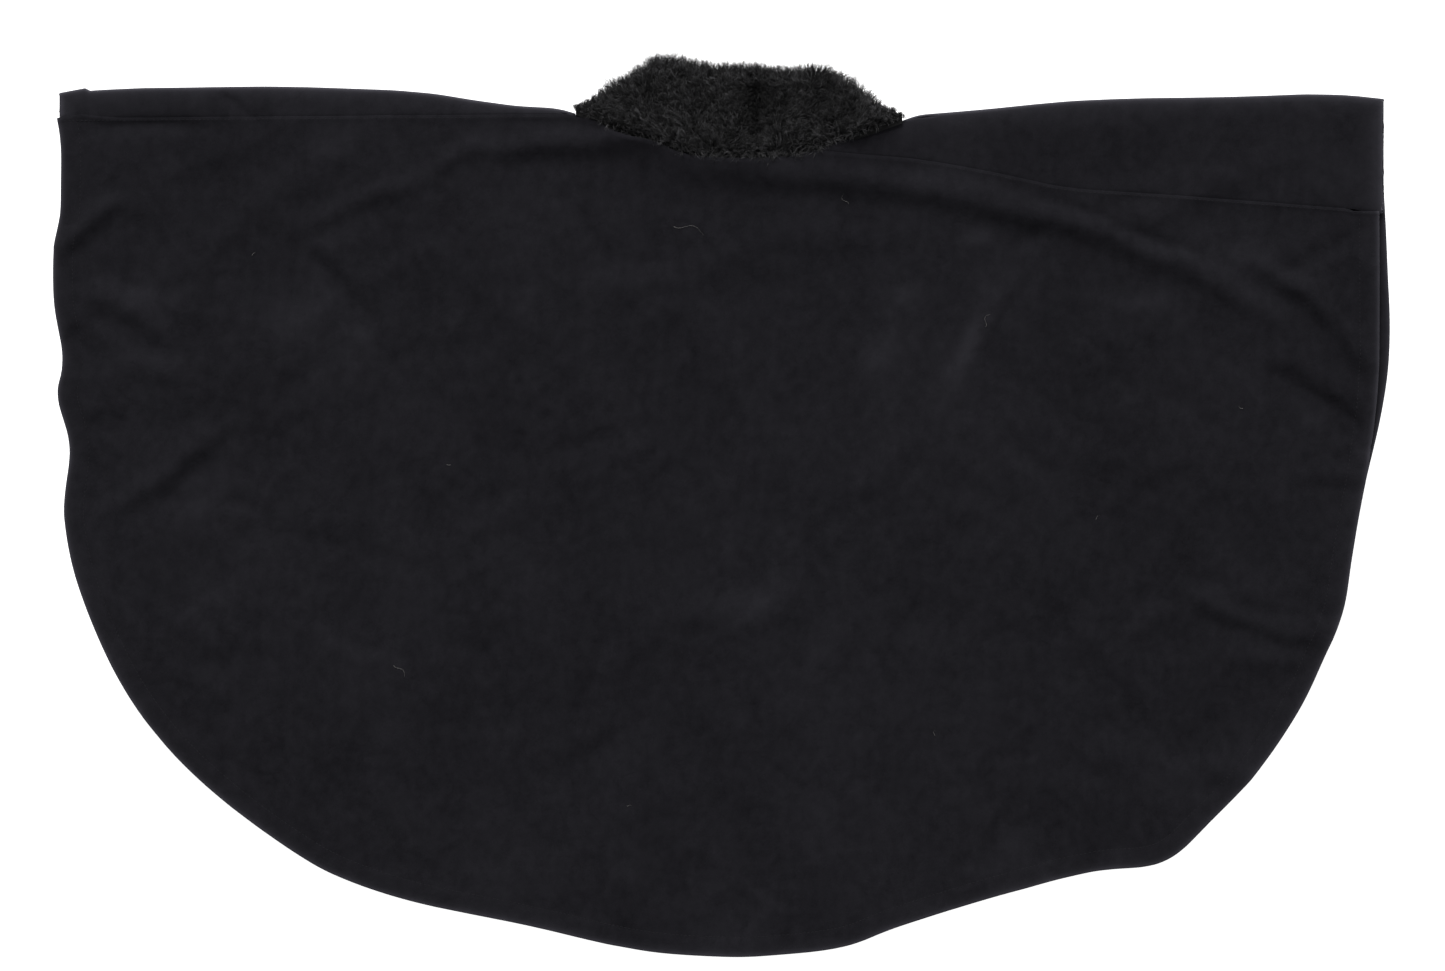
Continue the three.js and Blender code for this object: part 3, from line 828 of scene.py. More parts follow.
@dataclass
class BackPanel:
    """The half-round back, hemmed round its curve and sewn to the fronts along the shoulders."""

    cut: CutLines
    drape: Drape
    across: int = 260
    up: int = 134
    face_rows: tuple = (2.6, 5.0, 9.0, 13.0, 16.5, 18.0, 19.0, 20.0, 22.0, 25.0)
    turn_height: float = -250.0
    height: float = 760.0
    seam_steps: tuple = (0.0, 0.6, 1.5, 3.0, 4.0, 5.0, 8.0, 12.0)

    def relief(self, inset: Array, along: Array) -> Array:
        """Height of the hem's face: a doubled band, a dip at its stitching and small puckers."""
        band = 0.28 * (1 - smoothstep((inset - 15.0) / 8.0))
        steps = np.arange(0, 4000, 9.0)
        pucker = np.interp(along, steps, np.random.default_rng(21).normal(0, 0.15, len(steps)))
        pucker = pucker * (1 - smoothstep((inset - 20.0) / 4.0))
        gap = inset - STITCH_LINE
        return band - 0.16 * bell(gap, 1.2) + pucker * bell(gap, 7.0)

    def seam_dip(self, gap: Array) -> Array:
        """How far the cloth turns down at the shoulder seam, past the lip over its allowance."""
        return 0.35 * bell(gap, 1.1) - 0.5 * bell(gap - 3.2, 2.4)

    def build(self) -> Piece:
        """Makes the panel: rows that carry the hem's section round a grid that fills the middle.

        The panel's two ends count as the hem above a turning height, its bottom below it.
        """
        v = closer_at_end(self.up, self.height, self.seam_steps)
        u = np.linspace(0, 1, self.across)
        hem = soften(self.cut.hem)
        run = lengths(hem)
        low = np.flatnonzero(hem[:, 1] < self.turn_height)
        first, last = run[low[0]], run[low[-1]]
        where = np.concatenate([first * (1 - v[::-1]), first + (last - first) * u[1:-1],
                                last + (run[-1] - last) * v])
        edge, side = edge_frame(hem, where)
        inset, drop = turned_edge(-TURN, self.face_rows)
        ring = edge[None] + side[None] * inset[:, None, None]
        inner = ring[-1]
        count = len(v)
        left, bottom, right = inner[:count][::-1], inner[count - 1 : -count + 1], inner[-count:]
        top = self.cut.top
        top = top[(top[:, 0] > left[-1, 0] + 2) & (top[:, 0] < right[-1, 0] - 2)]
        top = spread(soften(np.concatenate([left[-1:], top, right[-1:]]), 2.0, 4.0), self.across)
        middle = coons(bottom, top, left, right, u, v)
        seam_gap = (1 - v) * self.height
        level = self.level(middle[..., 0], middle[..., 1]) - self.seam_dip(seam_gap)[:, None]
        ring_gap = np.concatenate([seam_gap[::-1], np.full(self.across - 2, self.height), seam_gap])
        ring_level = self.level(ring[..., 0], ring[..., 1])
        ring_level += drop[:, None] + self.relief(inset[:, None], where[None])
        ring_level -= self.seam_dip(ring_gap)[None]
        # The hem rows get painted rim light, a painted highlight along the folded edge.
        return fleece_sheet(
            "cape_back_panel", [with_height(middle, level), with_height(ring, ring_level)],
            [np.zeros(level.size), painted_rim_light(np.repeat(inset, len(where)))])

    def level(self, x: Array, y: Array) -> Array:
        """Height of the middle of the cloth at each place."""
        return BACK_LEVEL + self.drape.lift(x, y)

    def hem_line(self, inset: float, where: Array) -> tuple[Array, Array]:
        """Points on the cloth's face at a distance inside the hem, and directions along it."""
        edge, side = edge_frame(soften(self.cut.hem), where)
        spot = edge + side * inset
        level = self.level(spot[:, 0], spot[:, 1]) + CLOTH / 2
        level = level + self.relief(np.full(len(where), inset), where)
        return np.column_stack([spot, level]), np.column_stack([side[:, 1], -side[:, 0]])

    def seam_line(self, x: Array, below: float) -> tuple[Array, Array]:
        """Points on the cloth's face at a distance below the shoulder seam, and directions."""
        y = self.cut.top_height(x) - below
        level = self.level(x, y) + CLOTH / 2 - self.seam_dip(np.full(len(x), below))
        along = np.gradient(np.column_stack([x, y]), axis=0)
        return np.column_stack([x, y, level]), along / np.linalg.norm(along, axis=1, keepdims=True)


NAP_PATCHES = (  # x, y, half width, half height and how much lighter the brushed nap is
    (248, 165, 13, 46, 0.75), (180, 208, 12, 14, 0.45), (155, 145, 14, 18, 0.40),
    (253, 268, 16, 9, 0.40), (423, 205, 36, 9, 0.35), (37, -95, 30, 22, 0.40),
    (-372, 172, 40, 46, 0.22), (-430, 190, 30, 20, 0.25), (-585, 210, 42, 16, 0.30),
    (-520, 5, 30, 22, 0.30), (-560, 110, 44, 50, 0.14), (-505, -88, 46, 40, 0.12),
    (180, -30, 26, 40, 0.12), (-220, 300, 60, 30, 0.10), (60, 60, 60, 40, 0.08),
    (120, -200, 40, 30, 0.10), (330, 20, 30, 50, 0.08))


def nap_field(points: Array) -> Array:
    """How light the nap lies at each point: faint streaks and slanting, ragged patches."""
    x, y = points[:, 0], points[:, 1]
    light = value_noise(x + 0.35 * y, y, 85.0, 31) * 0.08 + value_noise(x, y, 33.0, 32) * 0.07
    ragged = 1 + 0.6 * value_noise(x, y, 13.0, 33)
    for middle_x, middle_y, wide, tall, gain in NAP_PATCHES:
        across, up = x - middle_x + 0.45 * (middle_y - y), y - middle_y
        light = light + gain * np.exp(-((across / wide) ** 2 + (up / tall) ** 2) * ragged)
    return light - 0.03


def painted_rim_light(inset: Array, gain: float = 0.45, reach: float = 6.0) -> Array:
    """Painted rim light: how much lighter the colour is near a folded edge, a painted highlight.

    Args:
        inset: distance from the edge.
        gain: lightness of the broad fall, which is e to the minus inset over reach.
        reach: its reach; a narrow fall of reach 1.5 and lightness 2.4 is added.

    Returns:
        What to add to the nap field.
    """
    inset = np.maximum(inset, 0.0)
    return gain * np.exp(-inset / reach) + 2.4 * np.exp(-inset / 1.5)


@dataclass
class FrontPanel:
    """One front: under the back, round the soft fold at the shoulder and up to the shoulder seam.

    Everything is worked out as if for the left side; `real_x` and `mirrored` turn it to the right.
    """

    side: Side
    cut: CutLines
    drape: Drape
    across: int = 110
    up: int = 96
    face_rows: tuple = (2.6, 6.0, 12.0, 17.0, 19.0, 21.0, 25.0)
    turn_height: float = -240.0
    roll_reach: float = 2.6
    strip_steps: tuple = (0.0, 0.6, 1.5, 3.0, 5.0)
    neck_from: float = 300.0
    neck_points: int = 34
    # Painted rim light along the roll and the strip's outer edge: lightness and reach of its broad
    # fall.
    fold_rim_light: tuple = (1.3, 9.0)

    @property
    def collar_end(self) -> tuple[float, float]:
        """Where the shoulder fold meets the collar's end, as if on the left."""
        low, high = (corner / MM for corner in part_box(f"fall_{self.side.value}_fur"))
        left = self.side is Side.LEFT
        return (low.x if left else -high.x) + 7.0, low.y - (2.5 if left else 5.5)

    @property
    def node(self) -> str:
        """The CAD node this panel stands for."""
        return f"{self.side.value}_front_panel"

    def real_x(self, x: Array) -> Array:
        """X as it is in the frame."""
        return x * -self.side.sign

    def mirrored(self, points: Array) -> Array:
        """Points with X turned to the left side, or back from it."""
        out = points.copy()
        out[..., 0] *= -self.side.sign
        return out

    def edges(self) -> dict[str, Array]:
        """The panel's edges as if it were the left one: hem, centre, neck and fold."""
        low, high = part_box(self.node)
        loop = self.mirrored(level_loop(self.node, low.z / MM))
        loop = loop if polygon_area(loop) > 0 else loop[::-1]
        shoulder = int(np.argmax(loop[:, 1] - loop[:, 0]))
        corner = int(np.argmax(loop[:, 0] - loop[:, 1]))
        neck = int(np.argmax(np.where(loop[:, 1] > self.neck_from, loop[:, 0], -np.inf)))
        points = self.mirrored(node_triangles(self.node)[0])
        middle = (low.z + high.z) / 2 / MM
        ridge = points[np.abs(points[:, 2] - middle) < 0.05]
        spots = np.unique(np.round(ridge[:, 0], 1))
        fold = np.array([[s, ridge[np.abs(ridge[:, 0] - s) < 0.1, 1].max()] for s in spots])
        fold = np.concatenate([fold, [self.collar_end]])
        upper = between_corners(loop, neck, shoulder)
        return {"hem": between_corners(loop, shoulder, corner),
                "centre": between_corners(loop, corner, neck),
                "neck": upper[upper[:, 0] > fold[-1, 0] + 2],
                "fold": fold}

    def under_level(self, x: Array, y: Array, neck: Array) -> Array:
        """Height of the lower cloth: nearly flat, with slow waves and a rise towards the neck."""
        wave = value_noise(x, y, 120.0, 8) * 0.5 + value_noise(x, y, 47.0, 9) * 0.25
        order = np.argsort(neck[:, 0])
        gap = np.interp(x, neck[order, 0], neck[order, 1]) - y
        near = self.real_x(x) > self.mirrored(neck)[:, 0].min() - 30
        return FRONT_LEVEL + np.maximum(wave, 0) * 0.6 + 3.0 * bell(gap, 30.0) * near

    def build(self) -> Piece:
        """Makes the panel as one sheet: hem rows, the lower grid, the roll and the upper strip.

        The roll's section is a half ellipse from the lower cloth to the upper: reach times the
        cosine of an angle outwards, and half the height difference times its sine upwards.
        """
        e = self.edges()
        fold = spread(soften(e["fold"], 3.0, 10.0), self.across)
        crease = fold - [0.0, self.roll_reach + 1.0]
        neck = spread(np.concatenate([crease[-1:], e["neck"][::-1]]), self.neck_points)[1:]
        hem, centre = soften(e["hem"]), e["centre"]
        hem = np.concatenate([crease[:1], hem[hem[:, 1] < crease[0, 1] - 2]])
        path = soften(np.concatenate([hem, centre[1:]]), 2.0, 5.0)
        run = lengths(path)
        corner = run[int(np.argmax(path[:, 0] - path[:, 1]))]
        turn = run[np.flatnonzero(path[:, 1] < self.turn_height)[0]]
        u, v = np.linspace(0, 1, self.across), np.linspace(0, 1, self.up)
        where = np.concatenate([turn * v[:-1], turn + (corner - turn) * u,
                                corner + (run[-1] - corner) * v[1:]])
        edge, side = edge_frame(path, where)
        inset, rise = turned_edge(TURN, self.face_rows)
        ring = edge[None] + side[None] * inset[:, None, None]
        slant = np.interp(ring[..., 0], crease[:, 0], crease[:, 1]) - crease[0, 1]
        ring[..., 1] += slant * smoothstep(1 - where / 60.0)[None]
        inner = ring[-1]
        left = inner[: self.up][::-1]
        bottom = inner[self.up - 1 : self.up - 1 + self.across]
        right = inner[-self.up :]
        top = np.concatenate([crease, neck])
        top = top[(top[:, 0] > left[-1, 0] + 1) & (top[:, 0] < right[-1, 0] - 1)]
        top = spread(np.concatenate([left[-1:], top, right[-1:]]), self.across)
        lower = coons(bottom, top, left, right, u, v)
        neck_line = self.mirrored(e["neck"])
        level = lambda grid: self.under_level(self.real_x(grid[..., 0]), grid[..., 1], neck_line)
        lower = with_height(lower, level(lower))
        ring = with_height(ring, level(ring) + rise[:, None])
        over = self.over_shoulder(e, crease, ring[FLAT_ROWS:, 0], lower[-1])
        fold_inset = np.minimum(self.roll_reach + over[0, :, 1][None] - over[..., 1],
                                over[..., 0] - over[0, 0, 0])
        # The hem rows, the roll and the strip's outer edge get painted rim light, a painted
        # highlight along the folded edges.
        return fleece_sheet(
            f"cape_{self.side.value}_front",
            [self.mirrored(block) for block in (lower, ring, over)],
            [np.zeros(lower[..., 0].size), painted_rim_light(np.repeat(inset, len(where))),
             painted_rim_light(fold_inset, *self.fold_rim_light)])

    def over_shoulder(self, e: dict[str, Array], crease: Array, hem_end: Array,
                      lower_top: Array) -> Array:
        """The roll at the fold and the strip beyond it, up to the shoulder seam.

        Args:
            e: the panel's edges.
            crease: where the lower cloth meets the roll, seen from above.
            hem_end: the hem rows' points at the crease.
            lower_top: the lower grid's points along the crease.

        Returns:
            Grid of points whose first row matches the lower cloth.
        """
        first = np.concatenate([hem_end[:-1], lower_top[lower_top[:, 0] <= crease[-1, 0] + 1]])
        x = first[:, 0]
        seam_end = crease[-1, 0] if self.side is Side.LEFT else 2.0 - self.cut.neck_right
        seam_x = x[0] + (x - x[0]) * (seam_end - x[0]) / (x[-1] - x[0])
        seam_y = self.cut.top_height(self.real_x(seam_x)) + 0.12
        outer_end = smoothstep((28.0 - (seam_x - seam_x[0])) / 10.0)  # tucked in at the outer end
        seam = np.column_stack([seam_x, np.minimum(seam_y - 2.0 * outer_end, first[:, 1] - 0.4)])
        share = (x - x[0]) / (x[-1] - x[0])
        tall = float(np.linalg.norm(first[0, :2] - seam[0]))
        w = closer_at_end(max(12, int(tall / 5)), tall, self.strip_steps)
        inner = np.stack([first[-1, :2], seam[-1]])
        if self.side is Side.RIGHT:
            neck = e["neck"][np.argsort(e["neck"][:, 0])]
            neck = neck[(neck[:, 0] < seam[-1, 0] - 3) & (neck[:, 0] > first[-1, 0] + 3)]
            inner = soften(np.concatenate([first[-1:, :2], neck, seam[-1:]]), EDGE_SPACING, 2.5)
        inner = at_lengths(inner, lengths(inner)[-1] * w)
        outer = first[0, :2] + (seam[0] - first[0, :2]) * w[:, None]
        strip = coons(first[:, :2], seam, outer, inner, share, w)
        gap = (1 - w)[:, None] * np.linalg.norm(first[:, :2] - seam, axis=1)[None]
        level = BACK_LEVEL + self.drape.lift(self.real_x(strip[..., 0]), strip[..., 1])
        level = level - 0.45 * bell(gap, 1.4) - 1.3 * outer_end[None] * bell(gap, 3.0)
        angle = np.linspace(-math.pi / 2, math.pi / 2, 11)[1:-1, None]
        middle, radius = (first[:, 2] + level[0]) / 2, (level[0] - first[:, 2]) / 2
        roll = np.stack([
            np.repeat(first[None, :, 0], len(angle), axis=0),
            first[None, :, 1] + self.roll_reach * np.cos(angle),
            middle[None] + radius[None] * np.sin(angle)], axis=-1)
        return np.concatenate([first[None], roll, with_height(strip, level)])


# ---- Collar --------------------------------------------------------------------------------------


@dataclass
class CollarShape:
    """Outline of the flattened collar as the frame has it: base, rim and the line it folds on."""

    base: Array = field(init=False)
    rim: Array = field(init=False)
    groove: float = 34.0

    def __post_init__(self) -> None:
        """Reads the widest ring of the stand and of the fall and splits them at the fold line."""
        stand, fall = self.widest("stand_back_fur"), self.widest("fall_back_fur")
        left, right = stand[np.argmin(stand[:, 0])], stand[np.argmax(stand[:, 0])]
        line = lambda x: np.interp(x, [left[0], right[0]], [left[1], right[1]])
        low = stand[stand[:, 1] < line(stand[:, 0]) - 1.0]
        high = fall[fall[:, 1] > line(fall[:, 0]) + 1.0]
        in_order = lambda pts: pts[np.argsort(pts[:, 0])]
        self.base = np.concatenate([[left], in_order(low), [right]])
        self.rim = np.concatenate([[left], in_order(high), [right]])

    @staticmethod
    def widest(node: str) -> Array:
        """Points of a fur pad's widest ring, which lies three tenths of the way up it."""
        low, high = (corner.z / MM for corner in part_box(node))
        points = node_triangles(node)[0]
        ring = points[np.abs(points[:, 2] - (low + 0.3 * (high - low))) < 0.05]
        return np.unique(ring.round(3), axis=0)[:, :2]

    def base_y(self, x: Array) -> Array:
        """Y of the neck edge at each X."""
        return np.interp(x, self.base[:, 0], self.base[:, 1])

    def rim_y(self, x: Array) -> Array:
        """Y of the free edge at each X."""
        return np.interp(x, self.rim[:, 0], self.rim[:, 1])

    def span(self, low: float | None, high: float | None,
             inset: float = 0.0) -> tuple[float, float]:
        """First and last X of a layer: the collar's own ends, drawn in, where none is given."""
        return (self.base[0, 0] + inset if low is None else low,
                self.base[-1, 0] - inset if high is None else high)

    def tall(self, x: Array) -> Array:
        """Distance from the neck edge to the free edge at each X."""
        return self.rim_y(x) - self.base_y(x)

    def spot(self, x: Array, v: Array, rim_inset: float, tuck: float) -> Array:
        """Place at a share v of the way from the neck edge to the free edge.

        Args:
            x: position across.
            v: share from 0 to 1.
            rim_inset: how far the free edge is drawn in.
            tuck: how far the neck edge reaches under the cloth it is sewn to.

        Returns:
            X and Y, in the last axis.
        """
        low, high = self.base_y(x), self.rim_y(x)
        room = np.clip((high - low) / 22.0, 0.0, 1.0)
        low, high = low - tuck, high - rim_inset * room
        return np.stack([x, low + (high - low) * v], axis=-1)


@dataclass
class CollarLayer:
    """One cloth layer of the collar: the knitted back of the fur, or the lining."""

    shape: CollarShape
    name: str
    level: float
    rim_inset: float
    tuck: float
    thickness: float
    from_x: float | None
    to_x: float | None
    end_drop: float
    base_drop: float
    rim_drop: float
    seed: int
    across: int = 130
    up: int = 44

    def height(self, x: Array, y: Array) -> Array:
        """Middle height of the layer: its level, soft lumps, a hollow, and drops at its edges.

        Near the collar's ends, where there is little room, the drops at both long edges shrink.
        """
        shape, way = self.shape, np.sign(self.end_drop)
        ends = np.minimum(x - shape.base[0, 0], shape.base[-1, 0] - x)
        lumps = 1.1 * value_noise(x, y, 26.0, self.seed)
        lumps = lumps + 0.5 * value_noise(x, y, 11.0, self.seed + 1)
        room = np.clip(shape.tall(x) / 30.0, 0.0, 1.0)
        at_base = 1 - smoothstep((y - shape.base_y(x) + self.tuck) / 11.0)
        at_rim = 1 - smoothstep((shape.rim_y(x) - self.rim_inset - y) / 9.0)
        drop = self.end_drop * (1 - smoothstep(ends / 45.0))
        drop = drop + room * self.base_drop * at_base + room * self.rim_drop * at_rim
        hollow = 2.6 * bell(x - shape.groove, 8.0) * bell(y - 398.0, 26.0)
        return self.level + way * lumps * 0.5 - drop - way * hollow

    def build(self, finish: bpy.types.Material, slot: str) -> Piece:
        """Makes the layer on a grid between the neck edge and the free edge."""
        low, high = self.shape.span(self.from_x, self.to_x, 4.0)
        x, v = np.meshgrid(np.linspace(low, high, self.across), np.linspace(0, 1, self.up))
        spot = self.shape.spot(x, v, self.rim_inset, self.tuck)
        points = with_height(spot, self.height(spot[..., 0], spot[..., 1]))
        piece = build_mesh(self.name, points.reshape(-1, 3), grid_faces(self.up, self.across))
        weld(piece)
        thicken(piece, self.thickness)
        return dress(piece, finish)


def cell_values(x: Array, y: Array, cell: float, seed: int, low: float,
                sizes: tuple[int, int]) -> Array:
    """Six random numbers from low to 1 for each place, shared by all places in one square cell."""
    table = np.random.default_rng(seed).uniform(low, 1, (6, *sizes))
    column, row = np.floor(x / cell).astype(int), np.floor(y / cell).astype(int)
    return table[:, column % sizes[0], row % sizes[1]]


@dataclass
class Roots:
    """Where each hair leaves the cloth, and what the place asks of it."""

    x: Array
    y: Array
    v: Array        # share of the way from the neck edge to the free edge
    fringe: Array   # whether it hangs over the free edge
    above: Array    # distance above the neck edge
    room: Array     # below 1 towards the collar's narrow ends
    groove: Array   # 1 in the fold down the middle of the back
    middle: Array   # 1 along the middle of the neck edge
    clump: Array    # six random numbers shared by a clump
    lock: Array     # six random numbers shared by a lock


@dataclass
class Pile:
    """Curly fur on one side of a collar layer.

    Hairs share their tilt, size and curl with their lock, and lean towards the tip of their clump.
    """

    layer: CollarLayer
    name: str
    count: int
    up: int
    length: float
    floor: float | None
    fringe: int
    seed: int
    radius: float = 0.29
    per_piece: int = 8800
    clump: float = 4.4
    lock: float = 1.2
    steps: int = 5

    def build(self, finish: bpy.types.Material) -> list[Piece]:
        """Makes the hairs and splits them into pieces."""
        rng = np.random.default_rng(self.seed)
        roots = self.roots(rng)
        heading = self.headings(rng, roots)
        size = self.sizes(rng, roots)
        middles = self.middles(rng, roots, heading, size)
        tones = self.tones(rng, roots)
        radii = self.radius * rng.uniform(0.7, 1.25, len(roots.x))
        return self.pieces(middles, radii, tones, finish)

    def roots(self, rng: np.random.Generator) -> Roots:
        """Even random places over the layer, and along its free edge for the fringe."""
        shape, layer = self.layer.shape, self.layer
        low, high = shape.span(layer.from_x, layer.to_x, 2.0)
        x = np.linspace(low, high, 400)
        tall = shape.tall(x)
        total = np.concatenate([[0], np.cumsum((tall[1:] + tall[:-1]) / 2)])
        spots = np.interp(rng.uniform(0, total[-1], self.count), total, x)
        share = rng.uniform(0, 1, self.count)
        x = np.concatenate([spots, rng.uniform(low, high, self.fringe)])
        v = np.concatenate([share, rng.uniform(0.93, 1.0, self.fringe)])
        y = shape.spot(x, v, layer.rim_inset, 0.0)[:, 1]
        above = y - shape.base_y(x)
        groove = bell(x - shape.groove, 12.0)
        groove = groove * smoothstep((above - 6) / 16) * smoothstep((0.93 - v) / 0.25)
        return Roots(x, y, v, np.arange(len(x)) >= self.count, above,
                     np.clip(shape.tall(x) / 40.0, 0.14, 1.0), groove,
                     smoothstep((x + 55) / 40) * smoothstep((125 - x) / 40),
                     cell_values(x, y, self.clump, self.seed + 7, -1, (97, 89)),
                     cell_values(x, y, self.lock, self.seed + 8, 0, (211, 199)))

    def headings(self, rng: np.random.Generator, roots: Roots) -> Array:
        """Direction of each hair seen from above: fanned from the fold, swirled and scattered.

        The angle is turned from straight up the collar; some hairs at the neck edge hang down.
        """
        x, y, clump, lock = roots.x, roots.y, roots.clump, roots.lock
        from_fold = x - self.layer.shape.groove
        angle = 0.55 * from_fold / 140.0 + 1.15 * value_noise(x, y, 21.0, self.seed + 2)
        angle = angle * (1 - 0.65 * smoothstep((roots.v - 0.8) / 0.2))
        angle = angle + 0.75 * clump[2] * (1 - 0.5 * roots.fringe)
        angle = angle + 1.7 * (lock[0] - 0.5) + rng.normal(0, 0.20, len(x))
        angle = angle + np.sign(from_fold) * roots.groove
        near_edge = 1 - smoothstep(roots.above / (6.0 + 4.0 * roots.middle))
        hanging = (0.35 + 0.4 * roots.middle) * near_edge
        angle = np.where(rng.random(len(x)) < hanging, angle + math.pi, angle)
        return np.column_stack([np.sin(angle), np.cos(angle)])

    def sizes(self, rng: np.random.Generator, roots: Roots) -> Array:
        """Length of each hair: shorter at the ends, in the fold and along the neck edge."""
        size = 1 + 0.12 * rng.normal(0, 1, len(roots.x))
        size = size + 0.15 * roots.clump[3] + 0.4 * (roots.lock[1] - 0.5)
        size = self.length * size * (0.16 + 0.84 * roots.room)
        size = np.clip(size, 1.6, 1.5 * self.length) * (1 - 0.3 * roots.groove)
        size = size * np.where(roots.fringe, 1.2, 1.0)
        return size * (1 - 0.25 * (1 - smoothstep(roots.above / 9.0)) * (1 - roots.middle))

    def middles(self, rng: np.random.Generator, roots: Roots, heading: Array,
                size: Array) -> Array:
        """Middle line of each hair.

        A hair leaves its root at a steep angle and bends over towards its tip, its line being the
        running sum of short steps along the cosine and sine of that angle. A slow wave curls it
        sideways, and its upper part is drawn towards its clump's tip.

        Args:
            rng: source of the random draws.
            roots: the hairs' roots.
            heading: unit direction of each hair seen from above.
            size: length of each hair.

        Returns:
            Points by hair, position and coordinate.
        """
        fringe, clump, lock, count = roots.fringe, roots.clump, roots.lock, len(roots.x)
        spot = np.column_stack([roots.x, roots.y])
        centre = (np.floor(spot / self.clump) + 0.5 + 0.35 * clump[:2].T) * self.clump
        aside = np.column_stack([heading[:, 1], -heading[:, 0]])
        s = np.linspace(0, 1, self.steps)
        steep = np.where(fringe, 24.0, 58.0) + 30 * (lock[2] - 0.5) + rng.normal(0, 5, count)
        bent = np.where(fringe, 8.0, -6.0) + 50 * (lock[3] - 0.5) + rng.normal(0, 7, count)
        steep, bent = np.radians(steep)[:, None], np.radians(bent)[:, None]
        lean = steep + (bent - steep) * (s[:-1] + s[1:])[None] / 2
        step, zero = size[:, None] / (self.steps - 1), np.zeros((count, 1))
        out = np.concatenate([zero, np.cumsum(np.cos(lean) * step, axis=1)], axis=1)
        rise = np.concatenate([zero, np.cumsum(np.sin(lean) * step, axis=1)], axis=1)
        phase = (math.tau * lock[4] + rng.normal(0, 0.4, count))[:, None]
        turns = (0.35 + 0.5 * lock[5] + rng.normal(0, 0.05, count))[:, None]
        curl = rng.uniform(1.0, 1.6, count)[:, None] * np.where(fringe, 0.45, 1.0)[:, None]
        wave = curl * (np.sin(math.tau * turns * s + phase) - np.sin(phase))
        bob = 0.5 * curl * (np.cos(math.tau * turns * s + phase) - np.cos(phase))
        draw = np.where(fringe, 0.75, 0.42)[:, None] * s[None] ** 1.4
        flat = spot[:, None, :] + heading[:, None] * out[..., None]
        flat = flat + aside[:, None] * wave[..., None]
        flat = flat + draw[..., None] * (centre - spot)[:, None, :]
        skin = self.layer.height(roots.x, roots.y) + self.up * self.layer.thickness / 2
        height = skin[:, None] + self.up * np.maximum(rise + bob, -0.3 * s[None])
        if self.floor is not None:
            height = np.maximum(height, self.floor + 0.6 * rng.random(count)[:, None])
        return with_height(flat, height)

    def tones(self, rng: np.random.Generator, roots: Roots) -> Array:
        """Lightness of each hair: mostly its lock's, more at the rim, the base and the ends, and
        less in the fold down the middle, where shade is painted.
        """
        x, y = roots.x, roots.y
        lock = np.modf(7.3 * roots.lock[0] + 3.1 * roots.lock[3])[0]
        own = np.clip(lock**4.4 + 0.04 * rng.normal(0, 1, len(x)), 0.0, 1.0)
        ends = 1 - smoothstep(np.minimum(x + 150, 184 - x) / 60)
        rim, low = smoothstep((roots.v - 0.70) / 0.30), bell(y - 363.0, 9.0)
        # Painted shade: the hairs in the fold down the middle are darker, and so is a round spot
        # near x 103, y 405.
        dark = 1.1 * roots.groove + 0.45 * bell(x - 103.0, 9.0) * bell(y - 405.0, 22.0)
        region = 0.42 * rim + 0.25 * ends + 0.15 * low - dark + 0.12 * value_noise(x, y, 15.0, 77)
        return np.clip(own * (1 + 1.2 * region) + 0.05 * region, 0.0, 1.0)

    def pieces(self, middles: Array, radii: Array, tones: Array,
               finish: bpy.types.Material) -> list[Piece]:
        """Splits the hairs into pieces of a workable size, from left to right."""
        order = np.argsort(middles[:, 0, 0], kind="stable")
        parts = np.array_split(order, math.ceil(len(order) / self.per_piece))
        made = []
        for number, chosen in enumerate(parts, 1):
            piece = strands(f"{self.name}_{number}", middles[chosen], radii[chosen], tones[chosen])
            made.append(dress(piece, finish))
        return made


@dataclass(frozen=True)
class Half:
    """One of the collar's halves: the back, or one side of the front underneath it."""

    name: str
    low: float | None       # first and last X, or the collar's own end
    high: float | None
    level: float            # middle height of the fur's backing
    lining_level: float
    end_drop: float
    up: int                 # which way the fur points, up or down
    floor: float | None     # lowest height a hair may reach
    hairs: int
    fringe: int
    length: float
    reach: float            # how far from the fold it bends


FRONT_HALF = (8.0, 10.1, -0.2, -1, 0.45, 7000, 500, 10.0, 12.0)


